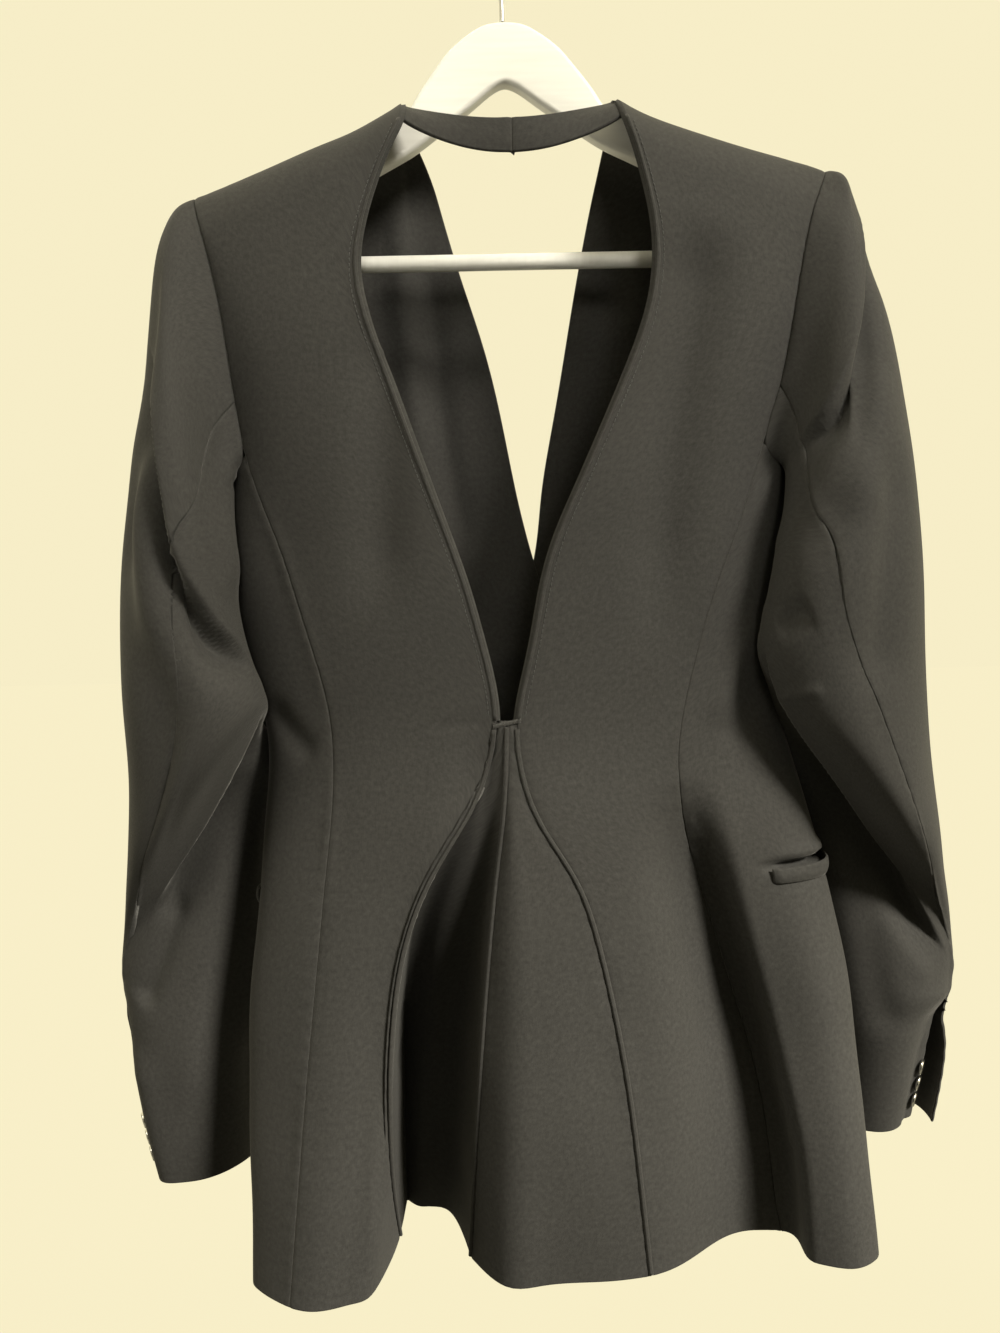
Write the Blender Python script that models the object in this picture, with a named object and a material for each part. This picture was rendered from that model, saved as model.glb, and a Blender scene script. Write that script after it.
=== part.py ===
"""Open-back blazer on a wooden hanger, built as it is cut and sewn.

Each piece of cloth is a closed wall. All of the body pieces lie on one body surface, so that they
meet at their seams, and each sleeve is a tube of rings that starts on the armhole.
Tables and sizes are in millimetres and become metres where a mesh is made.
+X is the wearer's right, +Y is the blazer's front, +Z is up. The origin is the seat of the hook.
"""
import math
from collections import namedtuple

import bmesh
import bpy
import numpy as np
from mathutils import Matrix, Vector

MM = 0.001

# Driving sizes of the cloth
CLOTH = 2.0
SEAM_GAP = 0.3
HEM = -848.0
WAIST = -500.0
CHEST = -334.0
HEM_TILT = 0.042
SECTION_ROUNDNESS = 0.75

# Shoulders: how the back and front roll up to the ridge
ROLL_HEIGHT = 42.0
ROLL_STARTS = 0.5
UPPER_ROWS = 8
LOWER_HEIGHTS = (HEM, -810.0, -770.0, -725.0, -680.0, -635.0, -595.0, -560.0, -530.0,
                 WAIST, -472.0, -444.0, -416.0, -388.0, -361.0, CHEST)
WAIST_ROW = LOWER_HEIGHTS.index(WAIST)

# Columns of each kind of panel
BACK_COLUMNS = 8
SIDE_COLUMNS = 8
FRONT_COLUMNS = 7
GODET_COLUMNS = 5

# The body's level sections: centre and half width in x, the side line and depths in y
Section = namedtuple("Section", "height centre half_width side_y back front")
BODY = (
    Section(-120, 3, 212, 0, 44, 52),
    Section(-200, 3, 205, 2, 50, 58),
    Section(-260, 2, 194, 4, 56, 62),
    Section(-334, 0, 175, 6, 60, 62),
    Section(-400, -3, 175, 8, 59, 59),
    Section(-450, -3.5, 169.5, 8, 57, 56),
    Section(-500, 5, 165, 8, 56, 56),
    Section(-560, 12, 174, 4, 58, 60),
    Section(-620, 16, 184, 0, 56, 62),
    Section(-700, 18, 194, -5, 48, 66),
    Section(-850, 24, 199, -12, 36, 72),
)

# The shoulder ridge as x and height, from the neck point out to the armhole
RIDGE = {
    "left": ((-215, -178), (-193, -172), (-147, -157), (-104, -141), (-85, -134), (-63, -121), (0, -121)),
    "right": ((0, -121), (68, -121), (85, -129), (117, -141), (168, -155), (190, -161), (215, -166)),
}

# Seams and edges as height and x
BACK_EDGE = {
    "left": ((-121, -63), (-140, -61), (-172, -74), (-214, -88), (-255, -84), (-310, -66), (-372, -44),
             (-426, -26), (-500, -12), (-530, -18), (-560, -35), (-600, -59), (-650, -75), (-720, -82),
             (-850, -84)),
    "right": ((-121, 68), (-140, 70), (-170, 78), (-206, 87), (-235, 87), (-283, 73), (-345, 46),
              (-406, 20), (-460, 9), (-500, 0), (-530, 3), (-560, 13), (-600, 37), (-650, 50),
              (-720, 63), (-850, 77)),
}
GODET_CENTRE = ((-500, -6), (-545, -8), (-600, -15), (-700, -25), (-850, -36))
PRINCESS = {
    "left": ((-170, -194), (-200, -185), (-230, -177), (-262, -172), (-300, -168), (-334, -163),
             (-390, -142), (-440, -127), (-500, -113), (-530, -112), (-600, -119), (-730, -134),
             (-850, -146)),
    "right": ((-150, 206), (-182, 190), (-206, 181), (-255, 172), (-290, 166), (-334, 153),
              (-372, 141), (-415, 124), (-460, 110), (-500, 100), (-525, 97), (-560, 102), (-600, 113),
              (-680, 134), (-760, 149), (-850, 157)),
}
FRONT_EDGE = {
    "left": ((-121, -63), (-141, -50), (-187, -37), (-256, -15), (-311, -3), (-345, 3), (-401, 16),
             (-440, 27), (-480, 32), (-850, 36)),
    "right": ((-121, 68), (-186, 53), (-290, 34), (-341, 24), (-401, 16), (-440, 2), (-480, -8),
              (-850, -4)),
}
# Height, and how far the front armhole lies outside the front seam there
FRONT_ARMHOLE = ((-334, 0), (-290, 3), (-240, 14), (-200, 31), (-165, 52), (-150, 60))
FRONT_SEAM_TURN = 1.40
UNDERARM_DIP = 20.0
UNDERARM_STARTS = -444.0
FRONT_LAP = 3.2

# Hanging folds of the skirt: x, half width and depth at three heights; a minus depth stands out,
# and the left share says how wide a fold's left half is against its right half
FOLD_HEIGHTS = (-560.0, -700.0, HEM)
Fold = namedtuple("Fold", "name x half_width depth sharpness left_share")
BACK_FOLDS = (
    Fold("godet recess", (-24, -54, -68), (14, 26, 32), (12, 58, 88), 4, 0.62),
    Fold("left crest", (-95, -116, -134), (30, 32, 36), (0, -8, -20), 2, 1.0),
    Fold("right flute", (106, 135, 140), (24, 32, 42), (6, 26, 32), 2, 1.0),
    Fold("godet crown", (0, 15, 22), (20, 34, 40), (0, -5, 2), 2, 1.0),
    Fold("right crest", (165, 190, 200), (24, 30, 36), (0, -7, -20), 2, 1.0),
)
FRONT_FOLDS = (
    Fold("left front flute", (-70, -88, -100), (30, 34, 40), (0, 5, 10), 2, 1.0),
    Fold("right front flute", (80, 96, 112), (30, 34, 40), (0, 5, 10), 2, 1.0),
)

# Neckband strap: its lowest place at the centre back
BAND_COLUMNS_HALF = 7
BAND_ROWS = 2
BAND_HEAD = -123.5
BAND_FOOT = -142.0
BAND_INSET = 0.8
BAND_MIDDLE = ((4, -41, -164.5), (4, -42, -155), (4, -41, -145))

# Sleeve rings: outer end, inner end, the bulge to the back and to the front, and the back seam's turn
Ring = namedtuple("Ring", "outer inner back front seam_turn")
SLEEVE = {
    "left": (
        Ring((-204, 0, -178), (-173, 4, -362), 48, 52, 124),
        Ring((-213, 0, -197), (-174, -6, -372), 54, 56, 129),
        Ring((-218, 0, -232), (-172, -14, -385), 58, 60, 128),
        Ring((-225, 0, -282), (-170, -21, -402), 60, 61, 120),
        Ring((-238, 0, -340), (-169, -25, -420), 60, 60, 104),
        Ring((-246, 0, -400), (-167, -27, -438), 58, 58, 102),
        Ring((-248, 2, -455), (-163, -28, -456), 56, 56, 104),
        Ring((-248, 6, -530), (-152, -32, -475), 52, 56, 90),
        Ring((-260, 22, -610), (-149, -32, -487), 46, 58, 62),
        Ring((-269, 32, -648), (-166, 12, -520), 20, 54, 42),
        Ring((-276, 40, -674), (-172, 32, -556), 26, 48, 24),
        Ring((-272, 46, -705), (-178, 44, -618), 36, 44, 14),
        Ring((-270, 54, -752), (-184, 56, -710), 42, 43, 12),
        Ring((-260, 66, -822), (-188, 70, -814), 42, 43, 12),
    ),
    "right": (
        Ring((211, 0, -166), (163, 8, -362), 48, 52, 126),
        Ring((217, 0, -190), (164, 0, -372), 54, 56, 132),
        Ring((229, 0, -228), (161, -14, -384), 58, 60, 134),
        Ring((239, 0, -275), (158, -24, -396), 60, 61, 134),
        Ring((247, 0, -328), (155, -30, -408), 60, 60, 122),
        Ring((254, 0, -385), (154, -33, -420), 58, 58, 114),
        Ring((259, 2, -445), (151, -34, -434), 56, 56, 110),
        Ring((264, 6, -520), (150, -36, -452), 52, 56, 90),
        Ring((282, 20, -610), (161, -34, -487), 46, 58, 62),
        Ring((293, 30, -654), (178, 12, -522), 22, 54, 42),
        Ring((300, 35, -678), (186, 32, -560), 26, 48, 24),
        Ring((296, 40, -702), (196, 46, -618), 34, 44, 14),
        Ring((297, 48, -738), (208, 58, -704), 40, 43, 12),
        Ring((289, 60, -798), (214, 76, -798), 40, 43, 12),
    ),
}
BODY_CLEARANCE = 4.5
ARMHOLE_GAP = 0.3
RING_STEPS = 2
TURN_AT_CHEST_BACK = 130.0
TURN_AT_CHEST_FRONT = 230.0
SLEEVE_BACK_SEAM = 7
SLEEVE_FRONT_SEAM = 18
VENT_RINGS = 4
VENT_OPENING = 8.0
VENT_COLUMNS = 4
VENT_FLARE = 9.0

# Large troughs on the sleeves, from ring and turn to ring and turn
Trough = namedtuple("Trough", "from_ring from_index to_ring to_index depth width")
SLEEVE_FOLDS = {
    "left": (Trough(4, 2, 10, 3, 7, 16), Trough(10, 3, 16, 7, 7, 16)),
    "right": (Trough(3, 1, 7, 4, 8, 15), Trough(7, 4, 9, 7, 6, 14)),
}

# Trims
ROLL_EDGE_RADIUS = 1.3
ROLL_SIDES = 6
ROLL_END_ROWS = 3
PIPING_RADIUS = 1.2
WELT_HEIGHT = 9.0
WELT_THICKNESS = 2.0
WELT_GAP = 0.6
WELT = {"left": (-0.98, -1.38, -606.0), "right": (0.565, 1.33, -595.0)}
WELT_COLUMNS = 10
CUFF_BUTTON_RADIUS = 5.5
CUFF_BUTTON_THICKNESS = 2.6
CUFF_BUTTONS = 3
CUFF_BUTTON_FROM_HEM = 16.0
CUFF_BUTTON_SPACING = 13.0
CUFF_BUTTON_FROM_EDGE = 0.6
FRONT_BUTTON_RADIUS = 10.0
FRONT_BUTTON_THICKNESS = 4.0
FRONT_BUTTON_PLACE = (6.0, -455.0)
BUTTON_SIDES = 14
BUTTON_EDGE_SHARE = 0.3

# Hanger
BOARD_THICKNESS = 12.0
BOARD_TILT = math.radians(1.2)
BOARD_EDGE = 2.0
# Outline of its right half as x and height
BOARD_TOP = ((0, -70), (13, -71.5), (25, -79), (35, -87), (46, -101), (55, -113), (61, -124),
             (67, -128.2), (84, -134.6), (104, -142.8), (147, -157), (180, -168.1), (194, -182))
BOARD_BOTTOM = ((198, -204), (192, -222), (180, -224), (178, -204), (120, -178), (84, -159), (58, -146),
                (22, -121), (8, -110), (0, -106))
BAR_RADIUS = 5.0
BAR_HEIGHT = -214.0
BAR_CENTRE = 3.0
BAR_HALF_LENGTH = 177.7
BAR_SIDES = 14
WIRE_RADIUS = 1.5
HOOK_RADIUS = 18.0
HOOK_STEPS = 14
# Stem and neck of the wire as x and height, up to the round hook
HOOK_NECK = ((0, -69.7), (0, -58), (0, -50), (3.5, -43), (10, -36), (16.5, -28.5))
HOOK_TIP_ANGLE = 205.0
WIRE_SIDES = 8

Finish = namedtuple("Finish", "colour roughness metallic")
FINISHES = {
    "blazer_cloth": Finish((0.022, 0.021, 0.020, 1.0), 0.85, 0.0),
    "hanger_wood": Finish((0.86, 0.85, 0.81, 1.0), 0.45, 0.0),
    "bright_metal": Finish((0.72, 0.70, 0.66, 1.0), 0.3, 1.0),
    "dark_button": Finish((0.03, 0.03, 0.03, 1.0), 0.35, 0.0),
}

# Small steps for normals, searches and shading
TURN_STEP = 0.01
HEIGHT_STEP = 1.0
X_STEP = 0.5
RISE_STEP = 0.01
EDGE_SEARCHES = 30
SIDE_LIMIT = 0.999
TINY = 1e-6
FACING_AWAY = -0.2
TROUGH_POINTS = 12
SHARP_ANGLE = math.radians(45.0)

SIDES = ("left", "right")
SIGN = {"left": -1.0, "right": 1.0}
BACK_FACE = -1.0
FRONT_FACE = 1.0


def smooth_curve(pairs):
    """Return a function: a cubic through pairs of key and value that overshoots none of them."""
    keys, values = np.array(sorted(pairs), float).T
    steps = np.diff(keys)
    rises = np.diff(values) / steps
    slopes = np.zeros(len(keys))
    slopes[0] = rises[0]
    slopes[-1] = rises[-1]
    for row in range(1, len(keys) - 1):
        before, after = rises[row - 1], rises[row]
        if before * after > 0:
            slopes[row] = 2.0 * before * after / (before + after)

    def read(at):
        at = min(max(at, keys[0]), keys[-1])
        row = min(int(np.searchsorted(keys, at, side="right")) - 1, len(steps) - 1)
        part = (at - keys[row]) / steps[row]
        rest = 1.0 - part
        ends = values[row] * (1 + 2 * part) * rest ** 2 + values[row + 1] * (3 - 2 * part) * part ** 2
        bend = slopes[row] * part * rest ** 2 - slopes[row + 1] * part ** 2 * rest
        return ends + bend * steps[row]

    return read


BODY_CURVES = {name: smooth_curve([(row.height, getattr(row, name)) for row in BODY])
               for name in Section._fields[1:]}
RIDGE_CURVES = {side: smooth_curve(RIDGE[side]) for side in SIDES}
BACK_EDGE_CURVES = {side: smooth_curve(BACK_EDGE[side]) for side in SIDES}
PRINCESS_CURVES = {side: smooth_curve(PRINCESS[side]) for side in SIDES}
FRONT_EDGE_CURVES = {side: smooth_curve(FRONT_EDGE[side]) for side in SIDES}
GODET_CENTRE_CURVE = smooth_curve(GODET_CENTRE)
FRONT_ARMHOLE_CURVE = smooth_curve(FRONT_ARMHOLE)


def fold_curves(folds):
    """Turn each fold's row into curves of height; its depth fades out at the waist."""
    curves = []
    for fold in folds:
        curves.append((smooth_curve(list(zip(FOLD_HEIGHTS, fold.x))),
                       smooth_curve(list(zip(FOLD_HEIGHTS, fold.half_width))),
                       smooth_curve(list(zip(FOLD_HEIGHTS, fold.depth)) + [(WAIST, 0.0)]), fold))
    return curves


FOLD_CURVES = {BACK_FACE: fold_curves(BACK_FOLDS), FRONT_FACE: fold_curves(FRONT_FOLDS)}


def fold_offset(x, height, face):
    """Sum of the hanging folds at a place on the back or the front, along y."""
    offset = 0.0
    for place, width, depth, fold in FOLD_CURVES[face]:
        across = (x - place(height)) / width(height)
        if across < 0.0:
            across /= -fold.left_share
        offset += depth(height) * math.exp(-across ** fold.sharpness)
    return offset


def section_point(share, height, face):
    """Point of the body at a share of its half width, from -1 on the left to 1 on the right."""
    x = BODY_CURVES["centre"](height) + BODY_CURVES["half_width"](height) * share
    depth = BODY_CURVES["back" if face == BACK_FACE else "front"](height)
    round_off = max(0.0, 1.0 - share * share) ** (SECTION_ROUNDNESS / 2.0)
    y = BODY_CURVES["side_y"](height) + face * depth * round_off + fold_offset(x, height, face)
    below_waist = min(max((WAIST - height) / (WAIST - HEM), 0.0), 1.0)
    return np.array((x, y, height + HEM_TILT * x * below_waist))


def turn_point(turn, height):
    """Point of the body by its turn: 0 is centre back, -1 and 1 the sides, 2 centre front."""
    face = BACK_FACE if abs(turn) <= 1.0 else FRONT_FACE
    return section_point(math.sin(turn * math.pi / 2.0), height, face)


def turn_of(x, height, face):
    """Turn of a place on the back or front, given by its x."""
    share = (x - BODY_CURVES["centre"](height)) / BODY_CURVES["half_width"](height)
    share = min(max(share, -SIDE_LIMIT), SIDE_LIMIT)
    quarter = math.asin(share) / (math.pi / 2.0)
    if face == BACK_FACE:
        return quarter
    return math.copysign(2.0, share) - quarter


def unit(vector):
    return vector / np.linalg.norm(vector)


def turn_normal(turn, height):
    """Outward normal of the body below the chest."""
    around = turn_point(turn + TURN_STEP, height) - turn_point(turn - TURN_STEP, height)
    upward = turn_point(turn, height + HEIGHT_STEP) - turn_point(turn, height - HEIGHT_STEP)
    return unit(np.cross(around, upward))


def yoke_point(x, rise, face):
    """Point between chest and shoulder: rise is 0 at the chest and 1 on the ridge."""
    side = "left" if x < 0.0 else "right"
    ridge = RIDGE_CURVES[side](x)
    roll_base = ridge - ROLL_HEIGHT
    if rise < ROLL_STARTS:
        height = CHEST + (roll_base - CHEST) * rise / ROLL_STARTS
        reach = 1.0
    else:
        angle = (min(rise, 1.0) - ROLL_STARTS) / (1.0 - ROLL_STARTS) * math.pi / 2.0
        height = roll_base + ROLL_HEIGHT * math.sin(angle)
        reach = math.cos(angle)
    share = (x - BODY_CURVES["centre"](height)) / BODY_CURVES["half_width"](height)
    y = section_point(min(max(share, -SIDE_LIMIT), SIDE_LIMIT), height, face)[1]
    return np.array((x, y * reach, height))


def yoke_normal(x, rise, face):
    """Outward normal between chest and shoulder."""
    across = yoke_point(x + X_STEP, rise, face) - yoke_point(x - X_STEP, rise, face)
    upward = yoke_point(x, min(rise + RISE_STEP, 1.0), face) - yoke_point(x, rise - RISE_STEP, face)
    return unit(np.cross(across, upward)) * -face


def yoke_x(edge, rise, face, guess):
    """The x where an edge that is given by height crosses a row of the yoke."""
    x = guess
    for _ in range(EDGE_SEARCHES):
        x = edge(yoke_point(x, rise, face)[2])
    return x


def front_seam_x(side, height):
    """The x of the seam between side and front, with the front armhole above the chest."""
    below = min(height, CHEST)
    share = math.sin(FRONT_SEAM_TURN * math.pi / 2.0)
    x = BODY_CURVES["centre"](below) + SIGN[side] * BODY_CURVES["half_width"](below) * share
    return x + SIGN[side] * FRONT_ARMHOLE_CURVE(height)


def panel_grid(near_edge, far_edge, face, columns, heights, with_yoke=True):
    """Points and normals of a back or front panel, rows from hem to shoulder."""
    points, normals = [], []
    for height in heights:
        near, far = near_edge(height), far_edge(height)
        turns = [turn_of(x, height, face) for x in np.linspace(near, far, columns + 1)]
        points.append([turn_point(turn, height) for turn in turns])
        normals.append([turn_normal(turn, height) for turn in turns])
    if with_yoke:
        near, far = near_edge(CHEST), far_edge(CHEST)
        for row in range(1, UPPER_ROWS + 1):
            rise = row / UPPER_ROWS
            near = yoke_x(near_edge, rise, face, near)
            far = yoke_x(far_edge, rise, face, far)
            places = np.linspace(near, far, columns + 1)
            points.append([yoke_point(x, rise, face) for x in places])
            normals.append([yoke_normal(x, rise, face) for x in places])
    return np.array(points), np.array(normals)


def back_grid(side):
    return panel_grid(BACK_EDGE_CURVES[side], PRINCESS_CURVES[side], BACK_FACE, BACK_COLUMNS, LOWER_HEIGHTS)


def front_grid(side):
    """The left front passes inside the right one where they lap."""
    points, normals = panel_grid(FRONT_EDGE_CURVES[side], lambda height: front_seam_x(side, height),
                                 FRONT_FACE, FRONT_COLUMNS, LOWER_HEIGHTS)
    if side == "left":
        for row in range(len(points) - 1):
            rise = max(0, row - len(LOWER_HEIGHTS) + 1) / UPPER_ROWS
            for column in range(FRONT_COLUMNS + 1):
                points[row, column, 1] -= FRONT_LAP * (1.0 - column / FRONT_COLUMNS) * (1.0 - rise)
    return points, normals


def godet_grid(side):
    edges = (BACK_EDGE_CURVES["left"], GODET_CENTRE_CURVE, BACK_EDGE_CURVES["right"])
    near, far = edges[:2] if side == "left" else edges[1:]
    return panel_grid(near, far, BACK_FACE, GODET_COLUMNS, LOWER_HEIGHTS[:WAIST_ROW + 1], with_yoke=False)


def side_grid(side):
    """The side panel turns from the princess seam to the front seam and dips under the arm."""
    points, normals = [], []
    for level in LOWER_HEIGHTS:
        first = turn_of(PRINCESS_CURVES[side](level), level, BACK_FACE)
        last = SIGN[side] * FRONT_SEAM_TURN
        row_points, row_normals = [], []
        for column in range(SIDE_COLUMNS + 1):
            part = column / SIDE_COLUMNS
            rise = max(0.0, (level - UNDERARM_STARTS) / (CHEST - UNDERARM_STARTS))
            height = level - UNDERARM_DIP * math.sin(math.pi * part) * rise
            turn = first + (last - first) * part
            row_points.append(turn_point(turn, height))
            row_normals.append(turn_normal(turn, height))
        points.append(row_points)
        normals.append(row_normals)
    return np.array(points), np.array(normals)


def trimmed(points):
    """Draw a grid's four edges in by half of the seam gap."""
    moved = points.copy()
    for edge, inner in (((0, slice(None)), (1, slice(None))), ((-1, slice(None)), (-2, slice(None))),
                        ((slice(None), 0), (slice(None), 1)), ((slice(None), -1), (slice(None), -2))):
        step = points[inner] - points[edge]
        length = np.maximum(np.linalg.norm(step, axis=-1, keepdims=True), TINY)
        moved[edge] += step / length * SEAM_GAP / 2.0
    return moved


def make_object(name, vertices, faces, material):
    """Make a mesh object from points in millimetres, facing out."""
    mesh = bpy.data.meshes.new(name)
    mesh.from_pydata([tuple(float(value) * MM for value in vertex) for vertex in vertices], [], faces)
    work = bmesh.new()
    work.from_mesh(mesh)
    bmesh.ops.recalc_face_normals(work, faces=work.faces)
    work.to_mesh(mesh)
    work.free()
    mesh.materials.append(material)
    mesh.shade_smooth()
    mesh.set_sharp_from_angle(angle=SHARP_ANGLE)
    body = bpy.data.objects.new(name, mesh)
    bpy.context.scene.collection.objects.link(body)
    return body


def make_wall(name, outer, inner, material):
    """Close an outer and an inner grid of points into one wall of cloth."""
    rows, columns = outer.shape[:2]
    count = rows * columns
    vertices = list(outer.reshape(-1, 3)) + list(inner.reshape(-1, 3))
    faces = []
    for row in range(rows - 1):
        for column in range(columns - 1):
            corner = row * columns + column
            quad = [corner, corner + 1, corner + columns + 1, corner + columns]
            # Split outside and inside along the same, shorter diagonal, so that the wall keeps its thickness
            if np.linalg.norm(vertices[quad[0]] - vertices[quad[2]]) > np.linalg.norm(vertices[quad[1]]
                                                                                     - vertices[quad[3]]):
                quad = quad[1:] + quad[:1]
            for triangle in ((quad[0], quad[1], quad[2]), (quad[0], quad[2], quad[3])):
                faces.append(triangle)
                faces.append(tuple(count + index for index in reversed(triangle)))
    rim = [row * columns for row in range(rows)]
    rim += [(rows - 1) * columns + column for column in range(1, columns)]
    rim += [row * columns + columns - 1 for row in range(rows - 2, -1, -1)]
    rim += list(range(columns - 2, 0, -1))
    for index, first in enumerate(rim):
        low, high = sorted((first, rim[(index + 1) % len(rim)]))
        # Two triangles, split the same way on both sides of a seam
        faces.append((low, high, count + high))
        faces.append((low, count + high, count + low))
    return make_object(name, vertices, faces, material)


def make_panel(name, points, normals, material):
    outer = trimmed(points)
    return make_wall(name, outer, outer - CLOTH * normals, material)


def armhole_loop(grids, side):
    """Armhole points and normals, from the ridge down the back, under the arm and up the front."""
    chest_row = len(LOWER_HEIGHTS) - 1
    loops = []
    for kind in range(2):
        back = grids["back", side][kind][chest_row:, -1][::-1]
        under = grids["side", side][kind][-1, 1:]
        front = grids["front", side][kind][chest_row + 1:-1, -1]
        loops.append(np.concatenate((back, under, front)))
    return loops


def ring_turns():
    """Angle of each armhole point round a sleeve ring, 0 on the outside and 90 at the back."""
    back = np.linspace(0.0, TURN_AT_CHEST_BACK, UPPER_ROWS + 1)
    under = np.linspace(TURN_AT_CHEST_BACK, TURN_AT_CHEST_FRONT, SIDE_COLUMNS + 1)[1:]
    front = np.linspace(TURN_AT_CHEST_FRONT, 360.0, UPPER_ROWS + 1)[1:-1]
    return np.radians(np.concatenate((back, under, front)))


def sleeve_ring(row, turns):
    """One oval ring of a sleeve from its row in the table."""
    outer, inner = np.array(row[0:3]), np.array(row[3:6])
    back, front, seam_turn = row[6:]
    points = []
    for turn in turns + math.radians(seam_turn) - turns[SLEEVE_BACK_SEAM]:
        bulge = back if math.sin(turn) > 0 else front
        point = (outer + inner) / 2.0 + (outer - inner) / 2.0 * math.cos(turn)
        point[1] -= bulge * math.sin(turn)
        points.append(point)
    return points


def clear_of_body(point, side):
    """Push a sleeve point out along x where it would enter the body."""
    height = min(point[2], CHEST)
    from_side = point[1] - BODY_CURVES["side_y"](height)
    depth = BODY_CURVES["back" if from_side < 0 else "front"](height)
    if abs(from_side) >= depth:
        return point
    share = math.sqrt(1.0 - (abs(from_side) / depth) ** (2.0 / SECTION_ROUNDNESS))
    edge = BODY_CURVES["centre"](height) + SIGN[side] * BODY_CURVES["half_width"](height) * share
    nearest = edge + SIGN[side] * BODY_CLEARANCE
    point[0] = SIGN[side] * max(SIGN[side] * point[0], SIGN[side] * nearest)
    return point


def tube_normals(grid):
    """Outward normals of a tube of rings."""
    along = np.gradient(grid, axis=0)
    around = (np.roll(grid, -1, axis=1) - np.roll(grid, 1, axis=1)) / 2.0
    normals = np.cross(along, around)
    normals /= np.linalg.norm(normals, axis=-1, keepdims=True)
    outward = grid - grid.mean(axis=1, keepdims=True)
    if np.sum(normals * outward) < 0:
        normals = -normals
    return normals


def sleeve_grid(side, loop):
    """Rings of a sleeve: the armhole first, then the table's rings with steps between them."""
    rows = [ring.outer + ring.inner + (ring.back, ring.front, ring.seam_turn) for ring in SLEEVE[side]]
    curves = [smooth_curve([(index, row[column]) for index, row in enumerate(rows)])
              for column in range(len(rows[0]))]
    turns = ring_turns()
    rings = [loop]
    for step in range((len(rows) - 1) * RING_STEPS + 1):
        rings.append(sleeve_ring([curve(step / RING_STEPS) for curve in curves], turns))
    grid = np.array(rings)
    normals = tube_normals(grid)
    shaped = grid.copy()
    for trough in SLEEVE_FOLDS[side]:
        path_rings = np.linspace(trough.from_ring, trough.to_ring, TROUGH_POINTS).round().astype(int)
        path_turns = np.linspace(trough.from_index, trough.to_index, TROUGH_POINTS).round().astype(int)
        distance = np.min([np.linalg.norm(grid - point, axis=-1) for point in grid[path_rings, path_turns]],
                          axis=0)
        drop = trough.depth * np.exp(-(distance / trough.width) ** 2)
        shaped[1:] -= (normals * drop[..., None])[1:]
    for ring in range(1, len(shaped)):
        shaped[ring] = [clear_of_body(point, side) for point in shaped[ring]]
    step = shaped[1] - shaped[0]
    shaped[0] += step / np.linalg.norm(step, axis=-1, keepdims=True) * ARMHOLE_GAP
    return shaped, tube_normals(shaped)


def share_armhole_normals(grids, sleeve_normals, side):
    """Where body and sleeve turn over an outward edge, give both walls the same slant there."""
    chest_row = len(LOWER_HEIGHTS) - 1
    body_normals = armhole_loop(grids, side)[1]
    for index, (body, sleeve) in enumerate(zip(body_normals, sleeve_normals[0])):
        if body @ sleeve < FACING_AWAY:
            continue
        shared = unit(body + sleeve)
        sleeve_normals[0, index] = shared
        if index <= UPPER_ROWS:
            grids["back", side][1][chest_row + UPPER_ROWS - index, -1] = shared
        if UPPER_ROWS <= index <= UPPER_ROWS + SIDE_COLUMNS:
            grids["side", side][1][-1, index - UPPER_ROWS] = shared
        if index >= UPPER_ROWS + SIDE_COLUMNS:
            grids["front", side][1][chest_row + index - UPPER_ROWS - SIDE_COLUMNS, -1] = shared
        if index == 0:
            grids["front", side][1][chest_row + UPPER_ROWS, -1] = shared


def make_sleeve(side, grid, normals, material):
    """Split the tube at its back and front seams, and open the vent above the cuff."""
    count = grid.shape[1]
    upper = [index % count for index in range(SLEEVE_FRONT_SEAM, SLEEVE_BACK_SEAM + count + 1)]
    under = list(range(SLEEVE_BACK_SEAM, SLEEVE_FRONT_SEAM + 1))
    upper_points, under_points = grid[:, upper].copy(), grid[:, under].copy()
    for ring in range(1, VENT_RINGS + 1):
        level = ring - VENT_RINGS - 1
        open_share = math.sqrt(ring / VENT_RINGS)
        for column in range(VENT_COLUMNS):
            fade = 1.0 - column / VENT_COLUMNS
            row = under_points[level]
            row[column] += unit(row[column + 1] - row[column]) * VENT_OPENING * open_share * fade
            flare = VENT_FLARE * open_share * fade ** 2
            upper_points[level, -1 - column] += normals[level, upper[-1 - column]] * flare
    make_panel("sleeve_%s_upper" % side, upper_points, normals[:, upper], material)
    make_panel("sleeve_%s_under" % side, under_points, normals[:, under], material)
    return under_points


def make_tube(name, path, radius, sides, material):
    """A round bar along a path of points."""
    path = np.array(path, float)
    tangents = np.gradient(path, axis=0)
    vertices, faces = [], []
    reference = np.array((0.0, 1.0, 0.0))
    for point, tangent in zip(path, tangents):
        across = unit(np.cross(unit(tangent), reference))
        other = np.cross(across, unit(tangent))
        for side in range(sides):
            angle = 2.0 * math.pi * side / sides
            vertices.append(point + radius * (across * math.cos(angle) + other * math.sin(angle)))
    for ring in range(len(path) - 1):
        for side in range(sides):
            following = (side + 1) % sides
            faces.append((ring * sides + side, ring * sides + following,
                          (ring + 1) * sides + following, (ring + 1) * sides + side))
    faces.append(tuple(range(sides)))
    faces.append(tuple((len(path) - 1) * sides + side for side in range(sides)))
    return make_object(name, vertices, faces, material)


def make_edge_roll(name, points, normals, radius, material):
    """A rolled edge or piping that lies just off a panel's own points."""
    centre = points + normals * (radius + SEAM_GAP)
    make_tube(name, centre, radius, ROLL_SIDES, material)


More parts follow.
